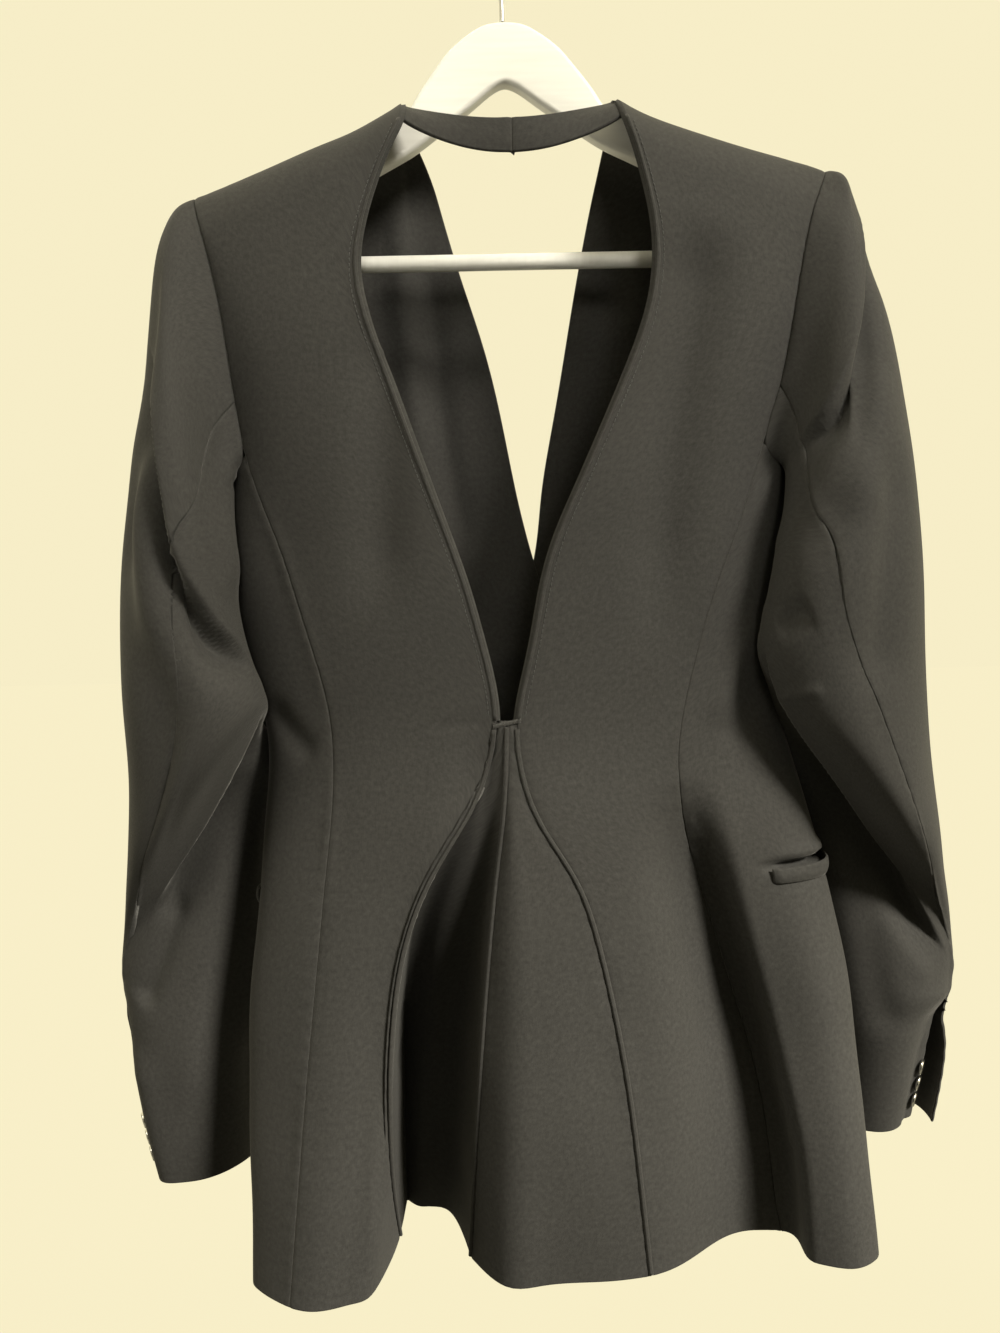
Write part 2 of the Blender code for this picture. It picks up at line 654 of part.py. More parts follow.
def make_button(name, place, normal, radius, thickness, material):
    """A turned button that lies flat on the cloth, with a soft rim."""
    work = bmesh.new()
    bmesh.ops.create_cone(work, cap_ends=True, segments=BUTTON_SIDES, radius1=radius * MM,
                          radius2=radius * MM, depth=thickness * MM)
    bmesh.ops.bevel(work, geom=[edge for edge in work.edges if len(edge.link_faces[0].verts) > 4
                                or len(edge.link_faces[1].verts) > 4],
                    offset=thickness * BUTTON_EDGE_SHARE * MM, segments=1, affect="EDGES")
    mesh = bpy.data.meshes.new(name)
    work.to_mesh(mesh)
    work.free()
    mesh.materials.append(material)
    mesh.shade_smooth()
    mesh.set_sharp_from_angle(angle=SHARP_ANGLE)
    button = bpy.data.objects.new(name, mesh)
    bpy.context.scene.collection.objects.link(button)
    axis = Vector([float(value) for value in normal])
    centre = place + normal * (SEAM_GAP + thickness / 2.0)
    button.rotation_euler = axis.to_track_quat("Z", "Y").to_euler()
    button.location = [float(value) * MM for value in centre]
    return button


def make_material(name):
    material = bpy.data.materials.new(name)
    material.use_nodes = True
    shader = material.node_tree.nodes["Principled BSDF"]
    finish = FINISHES[name]
    shader.inputs["Base Color"].default_value = finish.colour
    shader.inputs["Roughness"].default_value = finish.roughness
    shader.inputs["Metallic"].default_value = finish.metallic
    return material


def make_neckband(grids, material):
    """The strap across the back neck, from one opening edge to the other, with a centre seam."""
    ends = {}
    for side in SIDES:
        rows = []
        for row in range(BAND_ROWS + 1):
            height = BAND_FOOT + (BAND_HEAD - BAND_FOOT) * row / BAND_ROWS
            column = grids["back", side][0][:, 0]
            order = np.argsort(column[:, 2])
            rows.append([np.interp(height, column[order, 2], column[order, axis]) for axis in range(3)])
        ends[side] = np.array(rows) - np.array((SIGN[side] * BAND_INSET, 0.0, 0.0))
    middle = np.array(BAND_MIDDLE, float)
    grid = []
    for row in range(BAND_ROWS + 1):
        left, right = ends["left"][row], ends["right"][row]
        sag = middle[row] - (left + right) / 2.0
        grid.append([left + (right - left) * part + sag * 4.0 * part * (1.0 - part)
                     for part in np.linspace(0.0, 1.0, 2 * BAND_COLUMNS_HALF + 1)])
    grid = np.array(grid)
    normals = np.cross(np.gradient(grid, axis=1), np.gradient(grid, axis=0))
    normals /= np.linalg.norm(normals, axis=-1, keepdims=True)
    make_panel("neckband_left", grid[:, :BAND_COLUMNS_HALF + 1], normals[:, :BAND_COLUMNS_HALF + 1], material)
    make_panel("neckband_right", grid[:, BAND_COLUMNS_HALF:], normals[:, BAND_COLUMNS_HALF:], material)


def make_welt(side, material):
    """The narrow welt of a hip pocket, made from the side panel's points, moved out."""
    first, last, height = WELT[side]
    outer, inner = [], []
    for level in (height - WELT_HEIGHT, height):
        turns = np.linspace(first, last, WELT_COLUMNS + 1)
        places = [turn_point(turn, level) for turn in turns]
        normals = [turn_normal(turn, level) for turn in turns]
        inner.append([place + normal * WELT_GAP for place, normal in zip(places, normals)])
        outer.append([place + normal * WELT_THICKNESS for place, normal in zip(inner[-1], normals)])
    make_wall("pocket_welt_%s" % side, np.array(outer), np.array(inner), material)


def make_cuff_buttons(side, under_points, material):
    """Buttons on the under sleeve, in a row along its edge of the vent, from the cuff up."""
    edge = under_points[:, 0] + (under_points[:, 1] - under_points[:, 0]) * CUFF_BUTTON_FROM_EDGE
    edge = edge[::-1]
    lengths = np.concatenate(([0.0], np.cumsum(np.linalg.norm(np.diff(edge, axis=0), axis=-1))))
    for number in range(CUFF_BUTTONS):
        along = CUFF_BUTTON_FROM_HEM + CUFF_BUTTON_SPACING * number
        row = int(np.searchsorted(lengths, along))
        place = np.array([np.interp(along, lengths, edge[:, axis]) for axis in range(3)])
        across = under_points[-1 - row, 1] - under_points[-1 - row, 0]
        normal = unit(np.cross(edge[row] - edge[row - 1], across))
        if normal[0] * SIGN[side] < 0.0:
            normal = -normal
        make_button("cuff_button_%s_%d" % (side, number + 1), place, normal,
                    CUFF_BUTTON_RADIUS, CUFF_BUTTON_THICKNESS, material)


def make_front_button(material):
    x, height = FRONT_BUTTON_PLACE
    turn = turn_of(x, height, FRONT_FACE)
    make_button("front_button", turn_point(turn, height), turn_normal(turn, height),
                FRONT_BUTTON_RADIUS, FRONT_BUTTON_THICKNESS, material)


def make_hanger_body(material):
    """The wooden board: an outline that is the same on both sides, hung a little askew, with soft edges."""
    right = list(BOARD_TOP) + list(BOARD_BOTTOM)
    left = [(-x, height) for x, height in reversed(right) if x > 0]
    outline = right + left
    work = bmesh.new()
    corners = [work.verts.new((x * MM, -BOARD_THICKNESS / 2.0 * MM, height * MM)) for x, height in outline]
    top = Vector((0.0, 0.0, BOARD_TOP[0][1] * MM))
    bmesh.ops.rotate(work, verts=corners, cent=top, matrix=Matrix.Rotation(-BOARD_TILT, 3, "Y"))
    face = work.faces.new(corners)
    push = bmesh.ops.extrude_face_region(work, geom=[face])
    moved = [item for item in push["geom"] if isinstance(item, bmesh.types.BMVert)]
    bmesh.ops.translate(work, vec=(0.0, BOARD_THICKNESS * MM, 0.0), verts=moved)
    rims = [edge for edge in work.edges if abs(edge.verts[0].co.y - edge.verts[1].co.y) < TINY]
    bmesh.ops.bevel(work, geom=rims, offset=BOARD_EDGE * MM, segments=2, affect="EDGES")
    bmesh.ops.recalc_face_normals(work, faces=work.faces)
    mesh = bpy.data.meshes.new("hanger_body")
    work.to_mesh(mesh)
    work.free()
    mesh.materials.append(material)
    mesh.shade_smooth()
    mesh.set_sharp_from_angle(angle=SHARP_ANGLE)
    board = bpy.data.objects.new("hanger_body", mesh)
    bpy.context.scene.collection.objects.link(board)


def make_hanger_bar(material):
    ends = [(BAR_CENTRE + reach, 0.0, BAR_HEIGHT) for reach in (-BAR_HALF_LENGTH, BAR_HALF_LENGTH)]
    make_tube("hanger_bar", ends, BAR_RADIUS, BAR_SIDES, material)


def make_hanger_hook(material):
    """The wire: a straight stem, a neck to one side and a round hook over the seat."""
    centre = np.array((0.0, 0.0, -HOOK_RADIUS))
    reach = HOOK_RADIUS + WIRE_RADIUS
    path = [(x, 0.0, height) for x, height in HOOK_NECK]
    for step in range(HOOK_STEPS + 1):
        angle = math.radians(HOOK_TIP_ANGLE * step / HOOK_STEPS)
        path.append(centre + reach * np.array((math.cos(angle), 0.0, math.sin(angle))))
    make_tube("hanger_hook", path, WIRE_RADIUS, WIRE_SIDES, material)


def main():
    for old in list(bpy.data.objects):
        bpy.data.objects.remove(old, do_unlink=True)
    cloth, wood, metal, dark = (make_material(name) for name in FINISHES)

    makers = {"back": back_grid, "side": side_grid, "front": front_grid}
    grids = {(kind, side): list(make(side)) for kind, make in makers.items() for side in SIDES}
    for side in SIDES:
        sleeve, sleeve_normals = sleeve_grid(side, armhole_loop(grids, side)[0])
        share_armhole_normals(grids, sleeve_normals, side)
        under_sleeve = make_sleeve(side, sleeve, sleeve_normals, cloth)
        make_cuff_buttons(side, under_sleeve, metal)
    for (kind, side), (points, normals) in grids.items():
        make_panel("%s_%s" % (kind, side), points, normals, cloth)
    for side in SIDES:
        godet, godet_normals = godet_grid(side)
        make_panel("godet_%s" % side, godet, godet_normals, cloth)
        edge, edge_normals = (layer[WAIST_ROW:, 0] for layer in grids["back", side])
        make_edge_roll("opening_edge_%s" % side, edge[:-ROLL_END_ROWS], edge_normals[:-ROLL_END_ROWS],
                       ROLL_EDGE_RADIUS, cloth)
        seam, seam_normals = (layer[:WAIST_ROW, 0] for layer in grids["back", side])
        make_edge_roll("piping_%s" % side, seam, seam_normals, PIPING_RADIUS, cloth)
        make_welt(side, cloth)
    centre, centre_normals = (layer[:-1, 0] for layer in godet_grid("right"))
    make_edge_roll("piping_centre", centre, centre_normals, PIPING_RADIUS, cloth)
    make_neckband(grids, cloth)
    make_front_button(dark)
    make_hanger_body(wood)
    make_hanger_bar(wood)
    make_hanger_hook(metal)


main()
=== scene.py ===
# %% [markdown]
# # An open-back blazer on its hanger
# The blazer is black suiting, cut in panels and sewn, and it hangs on a white wooden hanger. The frame
# holds each panel as a plain wall, so this lesson reads the walls back as grids of points, makes fine
# cloth on them, places the creases one by one and then adds the trims, the buttons and the hanger. The frame
# comes first. The dressed blazer must not outgrow it.

# %% Load the frame
import itertools
import math
from collections import namedtuple

import bmesh
import bpy
import numpy as np
from mathutils import Matrix, Vector
from mathutils.kdtree import KDTree


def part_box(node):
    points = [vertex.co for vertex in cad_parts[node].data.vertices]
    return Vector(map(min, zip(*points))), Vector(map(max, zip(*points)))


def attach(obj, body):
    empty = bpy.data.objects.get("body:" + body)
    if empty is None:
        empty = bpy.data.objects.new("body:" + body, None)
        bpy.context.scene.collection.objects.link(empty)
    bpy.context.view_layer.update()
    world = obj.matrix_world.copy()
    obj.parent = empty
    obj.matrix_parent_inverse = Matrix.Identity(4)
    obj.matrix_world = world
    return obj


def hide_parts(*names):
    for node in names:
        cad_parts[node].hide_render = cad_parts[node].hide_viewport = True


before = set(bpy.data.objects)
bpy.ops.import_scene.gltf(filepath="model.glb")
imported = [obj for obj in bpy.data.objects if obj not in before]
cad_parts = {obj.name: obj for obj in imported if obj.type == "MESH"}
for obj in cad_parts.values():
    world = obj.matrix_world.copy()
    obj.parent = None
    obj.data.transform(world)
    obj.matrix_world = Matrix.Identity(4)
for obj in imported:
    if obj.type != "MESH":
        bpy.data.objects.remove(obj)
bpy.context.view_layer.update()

MM = 0.001
SIDES = ("left", "right")

# %% [markdown]
# ## Reading a cut piece back from its wall
# A panel in the frame is a closed wall: an outer layer, an inner layer and a rim as wide as the cloth is
# thick. Its triangles come from a grid of rows and columns, but that order is lost in the file. It could
# be guessed from the places of the points. Walking from triangle to triangle is surer: drop the rim, keep
# the outer layer, find its four corners on the edge, and then climb row by row.

# %% Split a wall into its two layers
WALL = 2.0 * MM
WELD = 0.01 * MM
RIM_SLACK = 0.005 * MM


def take_joined(face, waiting):
    """Take a face, and all the faces that it joins on to, out of the waiting ones."""
    found, reached = [], [face]
    while reached:
        face = reached.pop()
        found.append(face)
        near = {other for edge in face.edges for other in edge.link_faces} & waiting
        waiting -= near
        reached += near
    return found


def wall_layers(work):
    """Weld a wall's corners, drop its rim and return its two layers."""
    bmesh.ops.remove_doubles(work, verts=work.verts, dist=WELD)
    rim_edges = [edge for edge in work.edges if abs(edge.calc_length() - WALL) < RIM_SLACK]
    rim = {face for edge in rim_edges for face in edge.link_faces}
    bmesh.ops.delete(work, geom=list(rim), context="FACES")
    waiting = set(work.faces)
    layers = []
    while waiting:
        layers.append(take_joined(waiting.pop(), waiting))
    return layers


# %% Walk a layer row by row
SHARPEST = 8


def sides_between(corners, following):
    """Split a layer's edge into four runs of points, from corner to corner."""
    sides, run = [], [corners[0]]
    while len(sides) < 4:
        run.append(following[run[-1]])
        if run[-1] in corners:
            sides.append(run)
            run = [run[-1]]
    return sides


def four_sides(following):
    """The layer's sides: of its sharpest points, the four that leave opposite sides with equal counts."""
    bend = {corner: sum(loop.calc_angle() for loop in corner.link_loops) for corner in following}
    sharpest = sorted(bend, key=bend.get)[:SHARPEST]
    for corners in sorted(itertools.combinations(sharpest, 4), key=lambda four: sum(map(bend.get, four))):
        sides = sides_between(corners, following)
        if len(sides[0]) == len(sides[2]) and len(sides[1]) == len(sides[3]):
            return sides
    raise ValueError("no four corners fit this layer")


def walk_rows(layer, first_side):
    """Points of a layer as rows and columns: seen from outside, rows go up and columns to the right."""
    across = {}
    for face in layer:
        for loop in face.loops:
            across[loop.vert, loop.link_loop_next.vert] = loop.link_loop_prev.vert
    sides = four_sides({start: end for start, end in across if (end, start) not in across})
    reach = [side[0].co.dot(first_side) + side[-1].co.dot(first_side) for side in sides]
    low = reach.index(max(reach))
    row, rising = sides[low], sides[low - 1][::-1]
    rows = [row]
    for start in rising[1:]:
        above = [start]
        for here, there in zip(row, row[1:]):
            tip = across[here, there]
            above.append(across[above[-1], there] if tip == above[-1] else tip)
        rows.append(above)
        row = above
    return np.array([[tuple(corner.co) for corner in row] for row in rows])


def read_piece(node, outward=None, first_side=(0.0, 0.0, -1.0)):
    """Grid of a panel's outer layer: the one that lies further outward, or the larger one."""
    work = bmesh.new()
    work.from_mesh(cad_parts[node].data)
    layers = wall_layers(work)
    if outward is None:
        layer = max(layers, key=lambda faces: sum(face.calc_area() for face in faces))
    else:
        way = Vector(outward)
        layer = max(layers, key=lambda faces: sum(face.calc_center_median().dot(way) for face in faces))
    grid = walk_rows(layer, Vector(first_side))
    work.free()
    return grid


# %% Read every panel
BACKWARD, FORWARD = (0.0, -1.0, 0.0), (0.0, 1.0, 0.0)
TO_SIDE = {"left": (-1.0, 0.0, 0.0), "right": (1.0, 0.0, 0.0)}
grids = {}
for side in SIDES:
    grids["back_" + side] = read_piece("back_" + side, BACKWARD)
    grids["godet_" + side] = read_piece("godet_" + side, BACKWARD)
    grids["side_" + side] = read_piece("side_" + side, TO_SIDE[side])
    grids["front_" + side] = read_piece("front_" + side, FORWARD)
    grids["neckband_" + side] = read_piece("neckband_" + side, BACKWARD, first_side=TO_SIDE["left"])
    for half in ("upper", "under"):
        grids["sleeve_%s_%s" % (side, half)] = read_piece("sleeve_%s_%s" % (side, half))
print("panels as rows and columns:", {name: grid.shape[:2] for name, grid in grids.items()})

# %% [markdown]
# ## From a coarse grid to fine cloth
# Real cloth bends in long, even curves. Blender's Subdivision Surface would round the coarse grid, but it
# pulls the seams away from each other at the corners. A cubic curve through the rows, and then through
# the columns, keeps each panel's edge on its own edge points, so that two panels that shared a seam still
# share it. More rows are put close to the edges, where the cloth turns in to its seam. A sleeve is then
# evened out along its length. At a seam both panels get one shared direction to move in, so that a crease
# can't tear them apart. Last, the left half of the godet is tucked in, because its fold drops straight
# behind the seam.

# %% Curves through the rows of a grid
STEPS = {"back": 3.0, "front": 3.4, "side": 2.2, "godet": 2.6, "sleeve": 2.4, "neckband": 2.0}
EDGE_ROWS = (0.8 * MM, 1.7 * MM, 3.2 * MM, 4.5 * MM, 5.8 * MM)
ROW_CLEARANCE = 0.3


def lengthened(rows):
    """Rows of points with one more at each end, straight on."""
    return np.concatenate((2 * rows[:1] - rows[1:2], rows, 2 * rows[-1:] - rows[-2:-1]))


def smooth_rows(points, places):
    """Read a smooth curve through the rows of points at places, which are row numbers with fractions."""
    bend = np.diff(lengthened(points), 2, axis=0)
    held = lengthened(points - bend / 6.0)
    row = np.minimum(places.astype(int), len(points) - 2)
    part = (places - row).reshape(-1, *[1] * (points.ndim - 1))
    weights = ((1 - part) ** 3, 3 * part ** 3 - 6 * part ** 2 + 4,
               -3 * part ** 3 + 3 * part ** 2 + 3 * part + 1, part ** 3)
    return sum(weight * held[row + step] for step, weight in enumerate(weights)) / 6.0


def fine_places(points, step):
    """Row numbers about a step apart, with more of them close to both edges."""
    spacing = np.linalg.norm(np.diff(points, axis=0), axis=-1).mean(axis=1)
    counts = np.maximum(1, np.round(spacing / step)).astype(int)
    last = len(points) - 1.0
    even = np.concatenate([row + np.arange(count) / count for row, count in enumerate(counts)] + [[last]])
    near = np.array([reach / spacing[0] for reach in EDGE_ROWS if reach < spacing[0]])
    far = last - np.array([reach / spacing[-1] for reach in EDGE_ROWS if reach < spacing[-1]])
    # No row has the number -1, which only keeps this list from being empty.
    close = np.concatenate((near, far, [-1.0]))
    kept = even[np.abs(even[:, None] - close).min(axis=1) > ROW_CLEARANCE * step / spacing.mean()]
    kept = np.union1d(kept, (0.0, last))
    return np.union1d(kept, np.concatenate((near, far)))


def fine_grid(points, step):
    """The same panel with points about a step apart both ways."""
    taller = smooth_rows(points, fine_places(points, step))
    turned = points.swapaxes(0, 1)
    return smooth_rows(taller.swapaxes(0, 1), fine_places(turned, step)).swapaxes(0, 1)


fine = {name: fine_grid(grid, STEPS[name.split("_")[0]] * MM) for name, grid in grids.items()}
print("fine points:", sum(grid.shape[0] * grid.shape[1] for grid in fine.values()))

# %% Even out the sleeves
SLEEVE_EVENING = 20.0 * MM


def evened(grid, reach):
    """Even a sleeve out along its length, but leave both its ends where they are."""
    spacing = np.linalg.norm(np.diff(grid, axis=0), axis=-1).mean(axis=1)
    length = np.concatenate(([0.0], spacing.cumsum()))
    weights = np.exp(-((length[:, None] - length[None]) / reach) ** 2) * np.gradient(length)[None]
    weights /= weights.sum(axis=1, keepdims=True)
    even = np.einsum("ij,jkl->ikl", weights, grid)
    share = np.clip(np.minimum(length, length[-1] - length) / (2.0 * reach), 0.0, 1.0)
    return grid + (even - grid) * share[:, None, None]


sleeve_pieces = [name for name in fine if name.startswith("sleeve")]
for name in sleeve_pieces:
    fine[name] = evened(fine[name], SLEEVE_EVENING)
print("evened:", sleeve_pieces)

# %% Distances and directions on a panel
EDGES = ("bottom", "top", "left", "right")


def unit(vectors):
    """The same directions, each of length one."""
    return vectors / np.maximum(np.linalg.norm(vectors, axis=-1, keepdims=True), 1e-12)


def grid_normals(grid):
    """Outward normals of a grid whose rows go up and columns go right."""
    return unit(np.cross(np.gradient(grid, axis=1), np.gradient(grid, axis=0)))


def side_of(grid, side):
    """One edge of a grid, as a view of it."""
    return {"bottom": grid[0], "top": grid[-1], "left": grid[:, 0], "right": grid[:, -1]}[side]


def from_edges(grid):
    """Distance of each point from the panel's four edges, along the cloth."""
    rise = np.linalg.norm(np.diff(grid, axis=0), axis=-1).cumsum(axis=0)
    rise = np.concatenate((np.zeros((1, grid.shape[1])), rise))
    run = np.linalg.norm(np.diff(grid, axis=1), axis=-1).cumsum(axis=1)
    run = np.concatenate((np.zeros((grid.shape[0], 1)), run), axis=1)
    return {"bottom": rise, "top": rise[-1:] - rise, "left": run, "right": run[:, -1:] - run}


print("left back, hem to shoulder: %.0f mm" % (from_edges(fine["back_left"])["bottom"].max() / MM))

# %% Directions shared across the seams
SEAM_REACH = 1.6 * MM
TURN_REACH = 12.0 * MM


def edge_tree(grid):
    """A tree for finding the nearest point on a panel's edges."""
    places = np.concatenate([side_of(grid, side) for side in EDGES])
    tree = KDTree(len(places))
    for number, place in enumerate(places):
        tree.insert(place, number)
    tree.balance()
    return tree


def shared_normals(panels):
    """Normals of every panel, turned near a seam so that both panels there move the same way."""
    facing = {name: grid_normals(grid) for name, grid in panels.items()}
    trees = {name: edge_tree(grid) for name, grid in panels.items()}
    ways = {name: np.concatenate([side_of(way, side) for side in EDGES]) for name, way in facing.items()}
    turned = {name: way.copy() for name, way in facing.items()}
    for name, side in itertools.product(panels, EDGES):
        own = side_of(facing[name], side)
        both = own.copy()
        for other in panels.keys() - {name}:
            for number, place in enumerate(side_of(panels[name], side)):
                _, nearest, gap = trees[other].find(place)
                if gap < SEAM_REACH:
                    both[number] += ways[other][nearest]
        turn = unit(both) - own
        share = np.exp(-(from_edges(panels[name])[side] / TURN_REACH) ** 2)
        turned[name] += share[..., None] * (turn[None] if side in ("bottom", "top") else turn[:, None])
    return {name: unit(way) for name, way in turned.items()}


normals = shared_normals(fine)
print("directions for", len(normals), "panels")

# %% Tuck the godet's fold in behind its seam
TUCK_EDGE = 3.0 * MM
TUCK_FADE = 60.0 * MM
TUCK_TILT = 0.35


def ease(share):
    """A share that starts and ends softly."""
    share = np.clip(share, 0.0, 1.0)
    return share * share * (3.0 - 2.0 * share)


def tucked(grid):
    """Push the cloth beside the left edge in, a little past the deepest point to its right."""
    deepest = np.maximum.accumulate(grid[:, ::-1, 1], axis=1)[:, ::-1]
    reach = from_edges(grid)
    share = ease(reach["left"] / TUCK_EDGE) * ease(reach["top"] / TUCK_FADE)
    lowered = grid.copy()
    lowered[..., 1] += (deepest - grid[..., 1]) * (1.0 + TUCK_TILT) * share
    return lowered


fine["godet_left"] = tucked(fine["godet_left"])
print("deepest point of the fold: y = %.0f mm" % (fine["godet_left"][..., 1].max() / MM))

# %% [markdown]
# ## Creases placed one by one
# The photograph shows two kinds. Soft troughs and ridges fade on both sides, as where a sleeve hangs
# slack. A lip is a fold whose edge is crisp: the cloth on one side stands up, and on the other side it
# drops behind that edge, as at both sleeve heads and elbows. A cloth simulation would fold where it
# likes, so each crease here is a short line of places with its own depth and width. Most lines are
# given in x and z, in millimetres, and laid on the panels from the back or the front. A line on cloth
# that turns away from both has y as well. Every point moves along its normal, by less the further it
# lies from the line, so a crease runs on across a seam.

# %% Kinds of crease
# Depths and widths are in millimetres, and a soft crease with a negative depth is a ridge.
Soft = namedtuple("Soft", "panels face line depth width")
Lip = namedtuple("Lip", "panels face line rise drop width_up width_down edge")
BACK, FRONT, ON_CLOTH = -1.0, 1.0, 0.0
LINE_POINTS = 160
END_FADE = 0.22
LEAST_FACING = 0.05


def laid_line(crease):
    """Lay a crease's places on its panels, on the back or the front, as a smooth line of points."""
    if crease.face == ON_CLOTH:
        return smooth_rows(np.array(crease.line), np.linspace(0.0, len(crease.line) - 1.0, LINE_POINTS))
    points = np.concatenate([fine[name].reshape(-1, 3) for name in crease.panels])
    facing = np.concatenate([normals[name].reshape(-1, 3) for name in crease.panels])
    points = points[facing[:, 1] * crease.face > LEAST_FACING]
    places = []
    for x, z in crease.line:
        gap = (points[:, 0] - x * MM) ** 2 + (points[:, 2] - z * MM) ** 2
        places.append((x * MM, points[gap.argmin(), 1], z * MM))
    return smooth_rows(np.array(places), np.linspace(0.0, len(places) - 1.0, LINE_POINTS))


def from_line(line, points, facing):
    """Distance from a line, positive to its left as seen from outside, and how far along the line that is."""
    gaps = np.linalg.norm(points[:, None, :] - line[None], axis=-1)
    nearest = gaps.argmin(axis=1)
    along = unit(np.gradient(line, axis=0))[nearest]
    offset = points - line[nearest]
    ahead = np.einsum("ij,ij->i", offset, along)
    between = (nearest > 0) & (nearest < len(line) - 1)
    offset = offset - along * np.where(between, ahead, 0.0)[:, None]
    left = np.sign(np.einsum("ij,ij->i", np.cross(along, offset), facing))
    return np.linalg.norm(offset, axis=-1) * np.where(left == 0, 1.0, left), nearest / (len(line) - 1.0)


def crease_height(crease, points, facing):
    """How far the points move out (or in, where it is negative) for one crease."""
    distance, along = from_line(laid_line(crease), points, facing)
    fade = ease(np.minimum(along, 1.0 - along) / END_FADE)
    if isinstance(crease, Soft):
        return -crease.depth * MM * fade * np.exp(-(distance / (crease.width * MM)) ** 2)
    up = crease.rise * MM * np.exp(-(distance / (crease.width_up * MM)) ** 2)
    down = -crease.drop * MM * np.exp(-(distance / (crease.width_down * MM)) ** 2)
    share = ease(0.5 + 0.5 * distance / (crease.edge * MM))
    return fade * (share * up + (1.0 - share) * down)


# %% Creases of the sleeves
LEFT_SLEEVE = ("sleeve_left_upper", "sleeve_left_under")
RIGHT_SLEEVE = ("sleeve_right_upper", "sleeve_right_under")
SLEEVE_CREASES = (
    Lip(LEFT_SLEEVE, BACK, ((-217, -262), (-208, -300), (-204, -323), (-200, -359), (-196, -387),
                            (-190, -407), (-181, -425), (-173, -441), (-164, -455), (-155, -470)),
        3.0, 15.0, 22, 19, 2.4),
    Lip(LEFT_SLEEVE, BACK, ((-244, -634), (-230, -609), (-213, -583), (-196, -556), (-172, -521),
                            (-152, -488)), 2.5, 10.0, 16, 17, 2.6),
    Soft(LEFT_SLEEVE, BACK, ((-222, -612), (-232, -640), (-246, -675), (-256, -692)), 6.0, 9),
    Soft(LEFT_SLEEVE, BACK, ((-182, -560), (-194, -599), (-204, -640), (-211, -678), (-219, -732),
                             (-225, -780)), -3.0, 13),
    Lip(RIGHT_SLEEVE, BACK, ((168, -339), (177, -330), (187, -314), (196, -298), (202, -280), (207, -258),
                             (211, -235), (214, -212), (217, -192)), 3.0, 12.0, 18, 18, 2.4),
    Soft(RIGHT_SLEEVE, BACK, ((213, -280), (205, -315), (199, -350), (194, -390)), -3.5, 12),
    Soft(RIGHT_SLEEVE, BACK, ((222, -335), (218, -390), (211, -441), (208, -490)), 5.0, 15),
    Soft(RIGHT_SLEEVE, BACK, ((154, -443), (161, -439), (169, -434)), 4.5, 9),
    Soft(RIGHT_SLEEVE, BACK, ((160, -488), (167, -484), (178, -481)), -1.6, 4),
    Lip(RIGHT_SLEEVE, BACK, ((152, -452), (165, -494), (194, -534), (223, -574), (244, -602), (265, -636),
                             (287, -670)), 2.5, 13.0, 15, 20, 2.6),
    Soft(RIGHT_SLEEVE, BACK, ((217, -585), (226, -614), (235, -669), (243, -705), (255, -722)), 2.5, 12),
    Soft(RIGHT_SLEEVE, BACK, ((238, -630), (258, -664), (274, -686)), -1.2, 8),
    Soft(LEFT_SLEEVE, FRONT, ((-245, -500), (-215, -520), (-185, -510)), 4.0, 11),
    Soft(LEFT_SLEEVE, FRONT, ((-250, -552), (-220, -566), (-190, -548)), 5.0, 10),
    Soft(LEFT_SLEEVE, FRONT, ((-240, -300), (-215, -360), (-190, -400)), 3.0, 14),
    Soft(RIGHT_SLEEVE, FRONT, ((258, -490), (225, -512), (190, -500)), 4.0, 11),
    Soft(RIGHT_SLEEVE, FRONT, ((268, -548), (236, -560), (205, -544)), 5.0, 10),
    Soft(RIGHT_SLEEVE, FRONT, ((245, -290), (220, -350), (190, -388)), 3.0, 14),
)
print("sleeve creases:", len(SLEEVE_CREASES))


# %% Inner arms and cuffs
def in_metres(*places):
    """Places that are written in millimetres, as an array."""
    return np.array(places) * MM


INNER_ARMS = (
    Soft(LEFT_SLEEVE, BACK, ((-170, -325), (-169, -350), (-168, -375), (-168, -400), (-167, -430)), -5.0, 17),
    Soft(LEFT_SLEEVE, ON_CLOTH, in_metres((-160, -5, -503), (-167, 14, -522), (-172, 32, -556),
                                          (-178, 44, -618), (-183, 54, -690), (-186, 60, -740)), -9.0, 26),
    Soft(RIGHT_SLEEVE, ON_CLOTH, in_metres((163, -42, -425), (165, -32, -452), (168, -18, -478),
                                           (173, -4, -502), (180, 12, -524), (187, 32, -560),
                                           (195, 45, -615), (204, 54, -680)), -9.0, 22),
)
CUFF_CREASES = (
    Soft(("sleeve_left_upper",), ON_CLOTH, in_metres((-275, 42, -705), (-274, 47, -740), (-272, 51, -780),
                                                     (-267, 57, -820), (-262, 62, -865)), 8.0, 18),
    Soft(("sleeve_left_under",), ON_CLOTH, in_metres((-257, 21, -715), (-254, 25, -750), (-251, 29, -785),
                                                     (-246, 36, -825), (-241, 42, -865)), -4.5, 12),
    Soft(RIGHT_SLEEVE, ON_CLOTH, in_metres((290, 20, -695), (286, 24, -725), (284, 27, -760),
                                           (281, 31, -795), (276, 37, -870)), 11.0, 30),
    Soft(("sleeve_right_under",), ON_CLOTH, in_metres((286, 24, -715), (284, 27, -750), (281, 31, -785),
                                                      (279, 34, -820), (276, 37, -870)), 4.0, 20),
)
print("inner arms and cuffs:", len(INNER_ARMS) + len(CUFF_CREASES))

